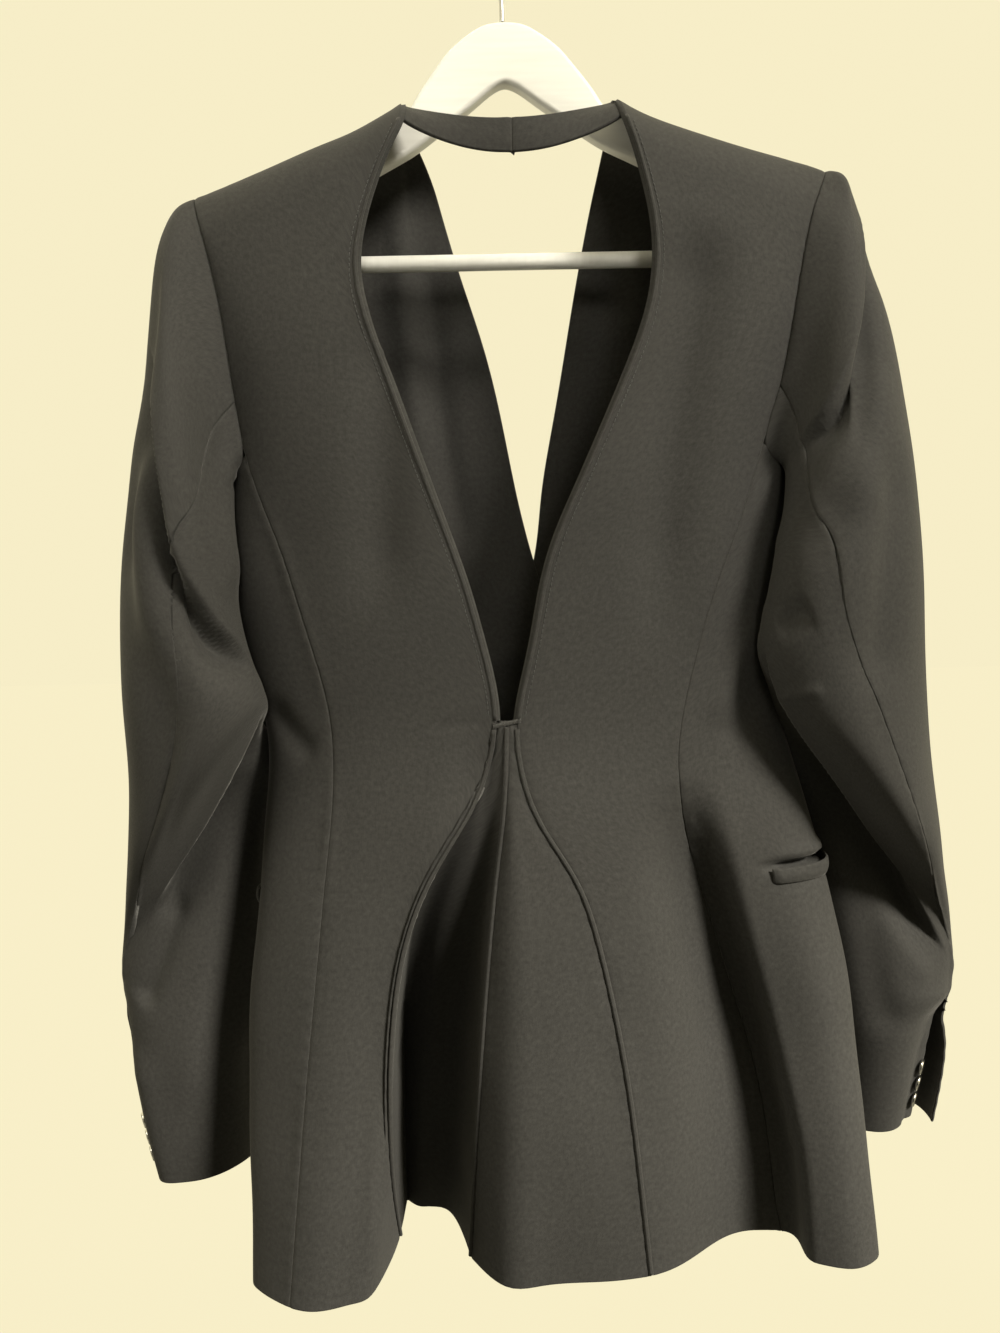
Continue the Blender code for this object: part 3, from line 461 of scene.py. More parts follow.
# %% Creases of the body
LEFT_BACK = ("back_left", "side_left")
RIGHT_BACK = ("back_right", "side_right")
LEFT_FRONT = ("front_left", "side_left")
RIGHT_FRONT = ("front_right", "side_right")
BODY_CREASES = (
    Soft(RIGHT_BACK, BACK, ((118, -200), (110, -250), (100, -307), (91, -376), (84, -470)), 10.0, 20),
    Soft(LEFT_BACK, BACK, ((-72, -250), (-75, -300), (-77, -341), (-79, -380), (-80, -450)), 7.0, 17),
    Soft(LEFT_BACK, BACK, ((-154, -484), (-140, -505), (-122, -522)), 3.0, 9),
    Soft(LEFT_BACK, BACK, ((-54, -501), (-34, -499.5), (-14, -498.5)), 0.8, 3),
    Soft(RIGHT_BACK, BACK, ((153, -434), (134, -468), (117, -508)), -2.5, 10),
    Soft(RIGHT_BACK, BACK, ((160, -462), (146, -490), (128, -520)), 2.5, 10),
    Lip(RIGHT_BACK, BACK, ((107, -530), (116, -570), (131, -632), (147, -690), (161, -749), (168, -795),
                           (171, -870), (175, -960)), 3.0, 20.0, 18, 34, 14.0),
    Soft(LEFT_FRONT, FRONT, ((16, -458), (-25, -470), (-80, -492)), 2.0, 8),
    Soft(LEFT_FRONT, FRONT, ((8, -430), (-30, -400), (-70, -350)), 2.0, 14),
    Soft(RIGHT_FRONT, FRONT, ((22, -460), (55, -476), (100, -498)), 2.0, 8),
    Soft(RIGHT_FRONT, FRONT, ((26, -432), (60, -398), (95, -340)), 2.0, 14),
    Lip(("front_left",), FRONT, ((-68, -170), (-67, -154), (-66, -136)), 0.8, 0.8, 6, 6, 1.5),
    Soft(("front_left",), FRONT, ((-74, -140), (-70, -195), (-67, -265), (-60, -345)), 4.0, 9),
    Soft(("front_left",), FRONT, ((-54, -180), (-49, -250), (-42, -330), (-28, -405)), -4.0, 10),
    Soft(("front_left",), FRONT, ((-92, -180), (-88, -260), (-80, -340)), -3.0, 11),
    Soft(("front_right",), FRONT, ((72, -165), (68, -250), (57, -335), (44, -400)), -3.5, 11),
    Soft(("front_right",), FRONT, ((92, -170), (88, -255), (78, -340)), 3.0, 12),
)
print("body creases:", len(BODY_CREASES))

# %% [markdown]
# ## The pockets' mouths
# Each hip pocket is a slit in the side panel. A narrow welt stands in front of it, and the cloth above
# it gapes, so the mouth reads as a dark line. A real hole would have to be cut in the panel and lined.
# A narrow, deep crease along the top of the welt gives the same shadow, with a soft ridge above it for
# the cloth that gapes, and a faint crease along the welt's foot, where it is sewn down.

# %% Creases at the pockets
# How far above the welt's head or foot each crease lies, with its depth and width, in millimetres.
AtWelt = namedtuple("AtWelt", "offset depth width")
MOUTH = AtWelt(1.6, 12.0, 2.8)
GAPE = AtWelt(7.5, -2.4, 5.0)
FOOT_LINE = AtWelt(-1.0, 0.7, 1.6)
welts = {side: read_piece("pocket_welt_" + side, TO_SIDE[side]) for side in SIDES}
pocket_creases = []
for side, welt in welts.items():
    panel = "side_" + side
    cloth = fine[panel].reshape(-1, 3)
    stand = np.mean([np.linalg.norm(cloth - place, axis=-1).min() for place in welt[-1]])
    foot, head = welt[[0, -1]] - grid_normals(welt)[[0, -1]] * stand
    rise = unit(head - foot)
    for line, kind in ((head, MOUTH), (head, GAPE), (foot, FOOT_LINE)):
        places = line + rise * kind.offset * MM
        if kind is MOUTH:
            places = lengthened(places)
        pocket_creases.append(Soft((panel,), ON_CLOTH, places, kind.depth, kind.width))
    print("welt", side, "stands %.1f mm off its panel" % (stand / MM))
print("pocket creases:", len(pocket_creases))

# %% [markdown]
# ## Sewing: what a seam does to the cloth
# Along a seam the cloth turns in, and thread makes it pucker a little, so the eye reads a seam as a
# fine dark line with a soft roll on both sides. A bump map could fake it. Moving the last few
# millimetres of each panel inwards gives it in the mesh, also when seen from the side. A slow, seeded
# drift over the whole blazer keeps the cloth from looking machined. It fades out at every seam, so that
# it can't open one.

# %% Seams, drift and puckers
WAIST = -500.0 * MM
SEAM_DEPTH = 0.45 * MM
FAINT_SEAM = 0.2 * MM
SEAM_WIDTH = 1.4 * MM
DRIFT_WAVES = 14
DRIFT_HEIGHT = 0.5 * MM
DRIFT_SHORTEST, DRIFT_LONGEST = 0.05, 0.17
PUCKER_LENGTH = 13.0 * MM
PUCKER_HEIGHT = 0.14 * MM
PUCKER_REACH = 9.0 * MM
PUCKER_SWAY = 2.0
PUCKER_BEAT = 2.7 * PUCKER_LENGTH
SEAM_FADE = 9.0 * MM
draw = np.random.default_rng(seed=11)
drift_ways = unit(draw.normal(size=(DRIFT_WAVES, 3)))
drift_lengths = draw.uniform(DRIFT_SHORTEST, DRIFT_LONGEST, size=DRIFT_WAVES)
drift_starts = draw.uniform(0.0, 2.0 * math.pi, size=DRIFT_WAVES)


def drift(points):
    """A slow unevenness of the cloth, the same for every panel at one place."""
    waves = np.sin(points @ (drift_ways / drift_lengths[:, None]).T * 2.0 * math.pi + drift_starts)
    return DRIFT_HEIGHT * waves.sum(axis=-1) / math.sqrt(DRIFT_WAVES)


def sewn_height(grid, seams, depth, half_sewn=None):
    """Turn the cloth in at its seams, with slight puckers. A half-sewn side is free above the waist."""
    height = np.zeros(grid.shape[:2])
    reach = from_edges(grid)
    for side in seams:
        along = reach["bottom"] if side in ("left", "right") else reach["left"]
        sway = PUCKER_SWAY * np.sin(along / PUCKER_BEAT)
        wave = np.sin(along / PUCKER_LENGTH * 2.0 * math.pi + sway)
        turned_in = PUCKER_HEIGHT * wave * np.exp(-(reach[side] / PUCKER_REACH) ** 2)
        turned_in -= depth * np.exp(-(reach[side] / SEAM_WIDTH) ** 2)
        height += np.where(grid[..., 2] > WAIST, 0.0, turned_in) if side == half_sewn else turned_in
    return height


def calm_at(grid, seams):
    """A share that falls to nothing at some seams, where the next panel doesn't move along."""
    share = np.ones(grid.shape[:2])
    reach = from_edges(grid)
    for side in seams:
        share *= ease(reach[side] / SEAM_FADE)
    return share


print("seams turn in by", SEAM_DEPTH / MM, "mm")

# %% [markdown]
# ## Shaping the panels
# Each panel now gets its creases, its seams and its drift at once. Which of its edges are sewn and
# which are free is a fact of the cut: hems, cuffs, the front edges and the long edges of the neckband
# are free. A back panel is sewn to the godet below the waist, and above it the same side is the free
# edge of the opening. Everything else is a seam.

# %% Which edges are sewn
SEWN = {
    "back_left": ("right", "top", "left"), "back_right": ("right", "top", "left"),
    "side_left": ("right", "top", "left"), "side_right": ("right", "top", "left"),
    "front_left": ("top", "right"), "front_right": ("top", "left"),
    "godet_left": ("right", "top", "left"), "godet_right": ("right", "top", "left"),
    "neckband_left": ("top", "bottom"), "neckband_right": ("top", "bottom"),
}
for side, half in itertools.product(SIDES, ("upper", "under")):
    SEWN["sleeve_%s_%s" % (side, half)] = ("right", "top", "left")
HALF_SEWN = {"back_left": "right", "back_right": "left"}
ALL_CREASES = (*SLEEVE_CREASES, *INNER_ARMS, *CUFF_CREASES, *BODY_CREASES, *pocket_creases)


def creased_height(name, points, facing):
    """How far points of one panel move out for all of its creases."""
    creases = [crease for crease in ALL_CREASES if name in crease.panels]
    return sum((crease_height(crease, points, facing) for crease in creases), np.zeros(len(points)))


settled, shaped = {}, {}
for name, grid in fine.items():
    points, facing = grid.reshape(-1, 3), normals[name].reshape(-1, 3)
    height = creased_height(name, points, facing).reshape(grid.shape[:2]) * calm_at(grid, ("top",))
    settled[name] = grid + normals[name] * height[..., None]
    height += drift(points).reshape(grid.shape[:2]) * calm_at(grid, SEWN[name])
    depth = FAINT_SEAM if name.startswith("sleeve_left") else SEAM_DEPTH
    height += sewn_height(grid, SEWN[name], depth, HALF_SEWN.get(name))
    shaped[name] = grid + normals[name] * height[..., None]
moves = {name: float(np.abs(shaped[name] - fine[name]).max()) for name in fine}
print("deepest move in mm:", {name: round(move / MM, 1) for name, move in moves.items()})

# %% [markdown]
# ## Black suiting
# The cloth is a fine worsted: black, dull, with a faint nap that lights up at its edges and a weave
# that shows from close by. Its weave follows each panel's own grain, so the material reads the UV map
# that every panel gets, laid out in metres. An image of cloth would repeat, so noise makes it instead.
# Two fine waves, crossed, give the threads, a stretched noise gives uneven yarn, a broad one gives
# faint clouds, a fine one gives slubs, the small lumps in the yarn, and a few specks of lint are left
# on it. The nap is the shader's sheen, set on its own sockets.

# %% Helpers for materials
def new_material(name):
    """A new material, with its node tree and its shader."""
    material = bpy.data.materials.new(name)
    material.use_nodes = True
    return material, material.node_tree, material.node_tree.nodes["Principled BSDF"]


def add_node(tree, kind, **settings):
    """Add a node. A setting is an input's value, or an attribute where its name starts with set_."""
    node = tree.nodes.new(kind)
    for name, value in settings.items():
        if name.startswith("set_"):
            setattr(node, name[4:], value)
        else:
            node.inputs[name.replace("_", " ")].default_value = value
    return node


def set_sockets(shader, **values):
    """Set constant values, or colours of three numbers, on a shader's own sockets."""
    for name, value in values.items():
        colour = isinstance(value, tuple)
        shader.inputs[name.replace("_", " ")].default_value = (*value, 1.0) if colour else value


def colour_ramp(tree, value, stops):
    """Colours for a socket's value, from two pairs of place and colour."""
    ramp = tree.nodes.new("ShaderNodeValToRGB")
    tree.links.new(value, ramp.inputs["Fac"])
    for element, (place, colour) in zip(ramp.color_ramp.elements, stops):
        element.position = place
        element.color = (*colour, 1.0)
    return ramp.outputs["Color"]


def noise(tree, vector, **settings):
    """Noise over a vector socket's places."""
    texture = add_node(tree, "ShaderNodeTexNoise", **settings)
    tree.links.new(vector, texture.inputs["Vector"])
    return texture.outputs["Fac"]


def multiplied(tree, first, second):
    """The product of two sockets' colours."""
    mix = add_node(tree, "ShaderNodeMix", set_data_type="RGBA", set_blend_type="MULTIPLY")
    mix.inputs[0].default_value = 1.0
    tree.links.new(first, mix.inputs[6])
    tree.links.new(second, mix.inputs[7])
    return mix.outputs[2]


def specked(tree, share, colour, speck):
    """A socket's colour, with a plain speck colour where the share is high."""
    mix = add_node(tree, "ShaderNodeMix", set_data_type="RGBA")
    mix.inputs[7].default_value = (*speck, 1.0)
    tree.links.new(share, mix.inputs[0])
    tree.links.new(colour, mix.inputs[6])
    return mix.outputs[2]


# %% The suiting
WEAVE_SCALE = 420.0
YARN_STRETCH = (1700.0, 240.0, 1.0)
CLOTH_DARK, CLOTH_LIGHT = (0.035, 0.034, 0.033), (0.045, 0.044, 0.042)
CLOUD_DARK, CLOUD_LIGHT = (0.93, 0.93, 0.93), (1.06, 1.06, 1.06)
SLUB_DARK, SLUB_LIGHT = (0.78, 0.77, 0.76), (1.22, 1.22, 1.20)
LINT = (0.30, 0.29, 0.27)
BLACK, WHITE = (0.0, 0.0, 0.0), (1.0, 1.0, 1.0)


def woven_height(tree, grain):
    """Height of the crossed threads."""
    weave = add_node(tree, "ShaderNodeMath", set_operation="MAXIMUM")
    for number, way in enumerate(("X", "Y")):
        wave = add_node(tree, "ShaderNodeTexWave", set_wave_type="BANDS", set_bands_direction=way,
                        Scale=WEAVE_SCALE, Distortion=0.6, Detail=1.0, Detail_Scale=2.0)
        tree.links.new(grain, wave.inputs["Vector"])
        tree.links.new(wave.outputs["Fac"], weave.inputs[number])
    return weave.outputs["Value"]


def lint_share(tree, grain):
    """A few small specks: the middles of some of many cells."""
    cells = add_node(tree, "ShaderNodeTexVoronoi", Scale=24.0, Randomness=1.0)
    tree.links.new(grain, cells.inputs["Vector"])
    near = colour_ramp(tree, cells.outputs["Distance"], ((0.0, WHITE), (0.03, BLACK)))
    chosen = colour_ramp(tree, cells.outputs["Color"], ((0.80, BLACK), (0.84, WHITE)))
    return multiplied(tree, near, chosen)


def make_suiting():
    """Black worsted with uneven yarn, slubs, a little lint and a faint nap."""
    material, tree, shader = new_material("black_suiting")
    link = tree.links.new
    grain = add_node(tree, "ShaderNodeUVMap", set_uv_map="grain").outputs["UV"]
    stretch = add_node(tree, "ShaderNodeMapping", Scale=YARN_STRETCH)
    link(grain, stretch.inputs["Vector"])
    yarn = noise(tree, stretch.outputs["Vector"], Scale=1.0, Detail=3.0, Roughness=0.6)
    clouds = noise(tree, grain, Scale=9.0, Detail=4.0, Roughness=0.55)
    slubs = noise(tree, grain, Scale=330.0, Detail=5.0, Roughness=0.65)
    colour = colour_ramp(tree, yarn, ((0.3, CLOTH_DARK), (0.7, CLOTH_LIGHT)))
    colour = multiplied(tree, colour, colour_ramp(tree, clouds, ((0.3, CLOUD_DARK), (0.7, CLOUD_LIGHT))))
    colour = multiplied(tree, colour, colour_ramp(tree, slubs, ((0.3, SLUB_DARK), (0.7, SLUB_LIGHT))))
    link(specked(tree, lint_share(tree, grain), colour, LINT), shader.inputs["Base Color"])

    rough = add_node(tree, "ShaderNodeMapRange", To_Min=0.74, To_Max=0.92)
    link(yarn, rough.inputs["Value"])
    link(rough.outputs["Result"], shader.inputs["Roughness"])
    bump = add_node(tree, "ShaderNodeBump", Strength=0.35, Distance=0.15 * MM)
    link(woven_height(tree, grain), bump.inputs["Height"])
    link(bump.outputs["Normal"], shader.inputs["Normal"])
    set_sockets(shader, Specular_IOR_Level=0.22, Sheen_Weight=0.12, Sheen_Roughness=0.35,
                Sheen_Tint=(0.9, 0.88, 0.84))
    return material


suiting = make_suiting()
print("made", suiting.name, "with", len(suiting.node_tree.nodes), "nodes")

# %% [markdown]
# ## A thin shell of cloth
# Suiting is under 2 mm thick. Solidify would give it thickness, but a shell built by hand can treat its
# edges one by one. A free edge is rounded, as a folded hem is. A sewn edge is carried on to its
# neighbour: the outer layers all but meet, and the inner layers run past the seam, as seam allowances
# do.

# %% Make a shell
CLOTH = 1.7 * MM
EDGE_ROUND = 0.6 * MM
SEAM_CLOSE = 0.25 * MM
SEAM_MEET = 0.14 * MM
SEAM_ALLOWANCE = 2.5 * MM


def edge_loop(rows, columns):
    """Point numbers round a grid's edge, from its lower left corner to the right, with each one's side."""
    last = rows - 1
    loop = [(column, "bottom") for column in range(columns - 1)]
    loop += [(row * columns + columns - 1, "right") for row in range(last)]
    loop += [(last * columns + column, "top") for column in range(columns - 1, 0, -1)]
    loop += [(row * columns, "left") for row in range(last, 0, -1)]
    return loop


def link_object(name, mesh, material):
    """Put a mesh with its material in the scene."""
    mesh.materials.append(material)
    piece = bpy.data.objects.new(name, mesh)
    bpy.context.scene.collection.objects.link(piece)
    return piece


def set_grain(mesh, places):
    """Give a mesh the UV map that the weave follows, in metres, from a place for each point."""
    corner_points = np.empty(len(mesh.loops), dtype=np.int32)
    mesh.loops.foreach_get("vertex_index", corner_points)
    layer = mesh.uv_layers.new(name="grain")
    layer.uv.foreach_set("vector", np.asarray(places, dtype=np.float32)[corner_points].ravel())


def make_shell(name, grid, facing, material, thickness=CLOTH, sewn=()):
    """Close a grid and its inner copy into a shell with round free edges."""
    rows, columns = grid.shape[:2]
    count = rows * columns
    outer = grid.reshape(-1, 3).copy()
    inner = (grid - facing * thickness).reshape(-1, 3)
    loop = edge_loop(rows, columns)
    numbers = np.array([number for number, _ in loop])
    along = np.roll(outer[numbers], -1, axis=0) - np.roll(outer[numbers], 1, axis=0)
    off = unit(np.cross(along, facing.reshape(-1, 3)[numbers]))
    joined = np.array([side in sewn for _, side in loop])[:, None]
    rim = (outer[numbers] + inner[numbers]) / 2.0 + off * np.where(joined, SEAM_CLOSE, EDGE_ROUND)
    outer[numbers] += off * np.where(joined, SEAM_MEET, 0.0)
    inner[numbers] += off * np.where(joined, SEAM_ALLOWANCE, 0.0)

    index = np.arange(count).reshape(rows, columns)
    quads = np.stack((index[:-1, :-1], index[:-1, 1:], index[1:, 1:], index[1:, :-1]), axis=-1)
    quads = quads.reshape(-1, 4)
    ring = 2 * count + np.arange(len(loop))
    following, next_ring = np.roll(numbers, -1), np.roll(ring, -1)
    faces = np.concatenate((quads, quads[:, ::-1] + count,
                            np.stack((following, numbers, ring, next_ring), axis=-1),
                            np.stack((next_ring, ring, numbers + count, following + count), axis=-1)))
    mesh = bpy.data.meshes.new(name)
    mesh.from_pydata(np.concatenate((outer, inner, rim)).tolist(), [], faces.tolist())
    reach = from_edges(grid)
    places = np.stack((reach["left"], reach["bottom"]), axis=-1).reshape(-1, 2)
    set_grain(mesh, np.concatenate((places, places, places[numbers])))
    mesh.shade_smooth()
    return link_object(name, mesh, material)


def cut_size(grid):
    """Width, length and area of a panel as it was cut flat."""
    reach = from_edges(grid)
    size = (float(reach["left"][:, -1].max()), float(reach["bottom"][-1].max()))
    sides = np.cross(grid[1:, 1:] - grid[:-1, :-1], grid[1:, :-1] - grid[:-1, 1:])
    return size, float(np.linalg.norm(sides, axis=-1).sum() / 2.0)


def stand_for(piece, node):
    """Let a piece ride on the one body and take the place of a node, which is hidden."""
    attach(piece, "root")
    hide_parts(node)


def declare_cloth(piece, node, grid):
    """Say what a cloth piece is: what it rides on, stands for, and was cut to."""
    size, area = cut_size(grid)
    stand_for(piece, node)
    return "%s %.0f x %.0f mm" % (node, size[0] / MM, size[1] / MM)


# %% Cut and hang every panel
BAND_THICKNESS = 2.6 * MM
panels = {}
for name, grid in shaped.items():
    thickness = BAND_THICKNESS if "neckband" in name else CLOTH
    panels[name] = make_shell(name + "_cloth", grid, grid_normals(grid), suiting, thickness, SEWN[name])
print("shells:", len(panels), "with", sum(len(panel.data.polygons) for panel in panels.values()), "faces")

# %% [markdown]
# ## Rolled edge and piping
# A narrow binding runs round the opening, and below the waist a double piping stands on each of the three
# godet seams. A bevelled curve would be round all over, so these are swept by hand: a small profile is
# carried along the panel's own edge, across the cloth and away from it. The left piping starts on the
# back panel and moves over to the godet's side where the fold begins, so that it covers the edge from
# which the fold drops.

# %% Sweep a profile along an edge
NECK = -142.0 * MM
EDGE_COLUMNS = 4
TRIM_GIRTH = 8.0 * MM


def lengths_along(path):
    """How far along a path each of its points lies."""
    return np.concatenate(([0.0], np.linalg.norm(np.diff(path, axis=0), axis=-1).cumsum()))


def tube_faces(rings, count, first=0):
    """Faces of a closed tube: rings of count points, joined by quads, with a cap at both ends."""
    faces = []
    for ring, step in itertools.product(range(rings - 1), range(count)):
        here, following = first + ring * count, (step + 1) % count
        faces.append((here + step, here + following, here + count + following, here + count + step))
    faces.append(tuple(range(first + count - 1, first - 1, -1)))
    faces.append(tuple(range(first + (rings - 1) * count, first + rings * count)))
    return faces


def face_outward(mesh):
    """Turn every face of a closed mesh outward."""
    work = bmesh.new()
    work.from_mesh(mesh)
    bmesh.ops.recalc_face_normals(work, faces=work.faces)
    work.to_mesh(mesh)
    work.free()


def sweep(name, path, across, away, profile, material):
    """Carry a closed profile, as pairs of across and away, along a path."""
    count = len(profile)
    points = [centre + side * reach + out * lift
              for centre, side, out in zip(path, across, away) for reach, lift in profile]
    mesh = bpy.data.meshes.new(name)
    mesh.from_pydata([tuple(point) for point in points], [], tube_faces(len(path), count))
    face_outward(mesh)
    turns = np.linspace(0.0, 1.0, count) * TRIM_GIRTH
    set_grain(mesh, [(turn, length) for length in lengths_along(path) for turn in turns])
    mesh.shade_smooth()
    return link_object(name, mesh, material)


def round_profile(half_width, half_height, sides=12, lift=0.0):
    """An oval profile, lifted off the cloth or sunk into it."""
    angles = np.linspace(0.0, 2.0 * math.pi, sides, endpoint=False)
    return [(half_width * math.cos(angle), lift + half_height * math.sin(angle)) for angle in angles]


def edge_path(name, column, low, high):
    """A panel's edge between two heights, with its directions across the cloth and away from it."""
    edge, facing = settled[name][:, column], normals[name][:, column]
    inner = settled[name][:, column + (EDGE_COLUMNS if column == 0 else -EDGE_COLUMNS)]
    keep = (edge[:, 2] > low) & (edge[:, 2] < high)
    across = unit(inner - edge)
    away = unit(facing - across * np.einsum("ij,ij->i", facing, across)[:, None])
    return edge[keep], across[keep], away[keep]


# %% Bind the opening
OPENING_COLUMN = {"left": -1, "right": 0}
BINDING = round_profile(half_width=1.4 * MM, half_height=1.25 * MM, lift=-0.2 * MM)
BINDING_INSET = 0.7 * MM
trims = {}
for side in SIDES:
    path, across, away = edge_path("back_" + side, OPENING_COLUMN[side], WAIST, NECK)
    path = path + across * BINDING_INSET
    trims["opening_edge_" + side] = sweep("opening_binding_" + side, path, across, away, BINDING, suiting)
print("bindings:", [len(trims["opening_edge_" + side].data.polygons) for side in SIDES])

# %% Double piping on the godet seams
PIPE_PROFILE = ((-1.6, -0.9), (-1.5, 0.3), (-1.2, 1.1), (-0.6, 1.5), (-0.1, 1.35), (0.4, 1.5), (1.0, 1.2),
                (1.4, 0.4), (1.5, -0.9))
PIPING = [(reach * MM, lift * MM) for reach, lift in PIPE_PROFILE]
BELOW_HEM = -1.0
PIPE_GAP = 1.0 * MM
FIRST_ROW = 2
PIPE_TURN = 27.0 * MM
# The panel whose edge a piping follows, the column of that edge, and how far the piping moves across it.
PIPED_SEAMS = {"piping_left": ("back_left", -1, 1.2 * MM), "piping_right": ("back_right", 0, 0.0),
               "piping_centre": ("godet_right", 0, 0.0)}
for node, (name, column, shift) in PIPED_SEAMS.items():
    path, across, away = edge_path(name, column, BELOW_HEM, WAIST - PIPE_GAP)
    turned = np.clip((WAIST - PIPE_TURN - path[:, 2]) / PIPE_TURN, 0.0, 1.0)[:, None]
    path = path + across * shift * (1.0 - 2.0 * turned)
    tracks = (track[FIRST_ROW:] for track in (path, across, away))
    trims[node] = sweep(node + "_strip", *tracks, PIPING, suiting)
print("pipings:", [node for node in trims if node.startswith("piping")])

# %% [markdown]
# ## Welts of the hip pockets
# A welt is a folded strip that stands up in front of the pocket's mouth. It is sewn down along its foot
# and at both ends, and its folded top leans away from the body in the middle. It is a small shell like
# the panels', but its rows follow a lean that is worked out from how far along the pocket they are.

# %% Make the welts
WELT_ROWS = 13
WELT_STEP = 2.0 * MM
WELT_SINK = 1.6 * MM
WELT_BELLY = 0.5 * MM
WELT_LEAN = 1.3 * MM
WELT_END = 0.12
LEAN_UP_POWER, LEAN_ALONG_POWER, SINK_POWER = 1.5, 0.7, 3


def leaning(strip):
    """A welt's strip with its foot and ends sunk into the cloth and its top leaning out in the middle."""
    up = np.linspace(0.0, 1.0, strip.shape[0])[:, None]
    along = np.linspace(0.0, 1.0, strip.shape[1])
    lean = (WELT_LEAN * up ** LEAN_UP_POWER * np.sin(math.pi * along) ** LEAN_ALONG_POWER
            + WELT_BELLY * np.sin(math.pi * up) - WELT_SINK * (1.0 - up) ** SINK_POWER)
    ends = np.minimum(along, 1.0 - along) * 2.0
    lean = lean - WELT_SINK * (1.0 - ease(ends / WELT_END))
    return strip + grid_normals(strip) * lean[..., None]


for side, welt in welts.items():
    turned = welt.swapaxes(0, 1)
    row = smooth_rows(turned, fine_places(turned, WELT_STEP)).swapaxes(0, 1)
    strip = leaning(row[0] + (row[1] - row[0]) * np.linspace(0.0, 1.0, WELT_ROWS)[:, None, None])
    name = "pocket_welt_" + side
    trims[name] = make_shell(name + "_strip", strip, grid_normals(strip), suiting)
print("welts:", [len(trims["pocket_welt_" + side].data.polygons) for side in SIDES], "faces")

# %% [markdown]
# Every panel is one sheet of cloth. The bindings, pipings and welts are sewn to a panel, and the sizes
# printed here are the panels' cut sizes.

for node, trim in trims.items():
    stand_for(trim, node)
for name, panel in panels.items():
    print("cut:", declare_cloth(panel, name, shaped[name]))

# %% [markdown]
# ## Stitches and the bar tack
# A row of small stitches holds the binding of the opening, and a bar tack closes its foot: a dense row
# of stitches in a slightly paler thread. Hundreds of stitches as separate objects would be slow, so one
# function joins each row into one mesh, in which a stitch is a short thread with tapered ends.

# %% A mesh of stitches
STITCH_SIDES = 6
STITCH_TAPER = ((0.0, 0.25), (0.12, 0.8), (0.5, 1.0), (0.88, 0.8), (1.0, 0.25))


def make_stitches(name, stitches, radius, material):
    """Join stitches, each a start, an end and a direction away from the cloth, into one mesh."""
    points, faces = [], []
    for start, end, away in stitches:
        across = np.cross(unit(end - start), away)
        for share, girth in STITCH_TAPER:
            arch = math.sin(math.pi * share) * radius
            for step in range(STITCH_SIDES):
                angle = 2.0 * math.pi * step / STITCH_SIDES
                points.append(start + (end - start) * share + away * arch
                              + (across * math.cos(angle) + away * math.sin(angle)) * radius * girth)
        first = len(points) - STITCH_SIDES * len(STITCH_TAPER)
        faces += tube_faces(len(STITCH_TAPER), STITCH_SIDES, first)
    mesh = bpy.data.meshes.new(name)
    mesh.from_pydata([tuple(point) for point in points], [], faces)
    mesh.shade_smooth()
    piece = link_object(name, mesh, material)
    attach(piece, "root")


def make_thread(name, colour):
    """Thread: the cloth's black with a little shine, or paler where it is packed."""
    material, _, shader = new_material(name)
    set_sockets(shader, Base_Color=colour, Roughness=0.55, Sheen_Weight=0.3)
    return material


black_thread = make_thread("black_thread", (0.03, 0.03, 0.029))
pale_thread = make_thread("pale_thread", (0.038, 0.036, 0.033))
print("threads:", black_thread.name, pale_thread.name)

# %% Stitch the binding
STITCH_LENGTH = 2.3 * MM
STITCH_PITCH = 3.1 * MM
STITCH_RADIUS = 0.24 * MM
STITCH_LIFT = 0.1 * MM
STITCH_ROWS = 0.75
BINDING_STITCH = 4.4 * MM


def spaced(path, pitch):
    """Places at an even pitch along a path, as row numbers with fractions."""
    lengths = lengths_along(path)
    return np.interp(np.arange(pitch, lengths[-1] - pitch, pitch), lengths, np.arange(len(path)))


for side in SIDES:
    edge, across, away = edge_path("back_" + side, OPENING_COLUMN[side], WAIST, NECK)
    line = edge + across * BINDING_STITCH + away * STITCH_LIFT
    row = []
    for place in spaced(line, STITCH_PITCH):
        ends = smooth_rows(line, np.array((place, min(place + STITCH_ROWS, len(line) - 1.0))))
        way = unit(ends[1] - ends[0])
        row.append((ends[0], ends[0] + way * STITCH_LENGTH, away[int(place)]))
    make_stitches("binding_stitches_" + side, row, STITCH_RADIUS, black_thread)
    print("binding", side, "has", len(row), "stitches")

# %% Bar tack at the foot
FOOT_BELOW, FOOT_ABOVE = 4.0 * MM, 6.0 * MM
TACK_STITCHES = 21
TACK_OVERHANG = 0.12
TACK_HEIGHT = 2.8 * MM
TACK_RADIUS = 0.32 * MM
TACK_DROP = 0.6 * MM
TACK_STAND = 0.6 * MM


def foot_of(side):
    """The place on the opening's edge at its foot."""
    edge, _, _ = edge_path("back_" + side, OPENING_COLUMN[side], WAIST - FOOT_BELOW, WAIST + FOOT_ABOVE)
    return edge[len(edge) // 2]


start, end = (foot_of(side) for side in SIDES)
half = np.array((0.0, 0.0, TACK_HEIGHT / 2.0))
tack = []
for share in np.linspace(-TACK_OVERHANG, 1.0 + TACK_OVERHANG, TACK_STITCHES):
    middle = start + (end - start) * share + np.array((0.0, -TACK_STAND, -TACK_DROP))
    tack.append((middle - half, middle + half, np.array(BACKWARD)))
make_stitches("bar_tack", tack, TACK_RADIUS, pale_thread)
print("bar tack: %.1f mm wide" % (np.linalg.norm(end - start) * (1.0 + 2.0 * TACK_OVERHANG) / MM))

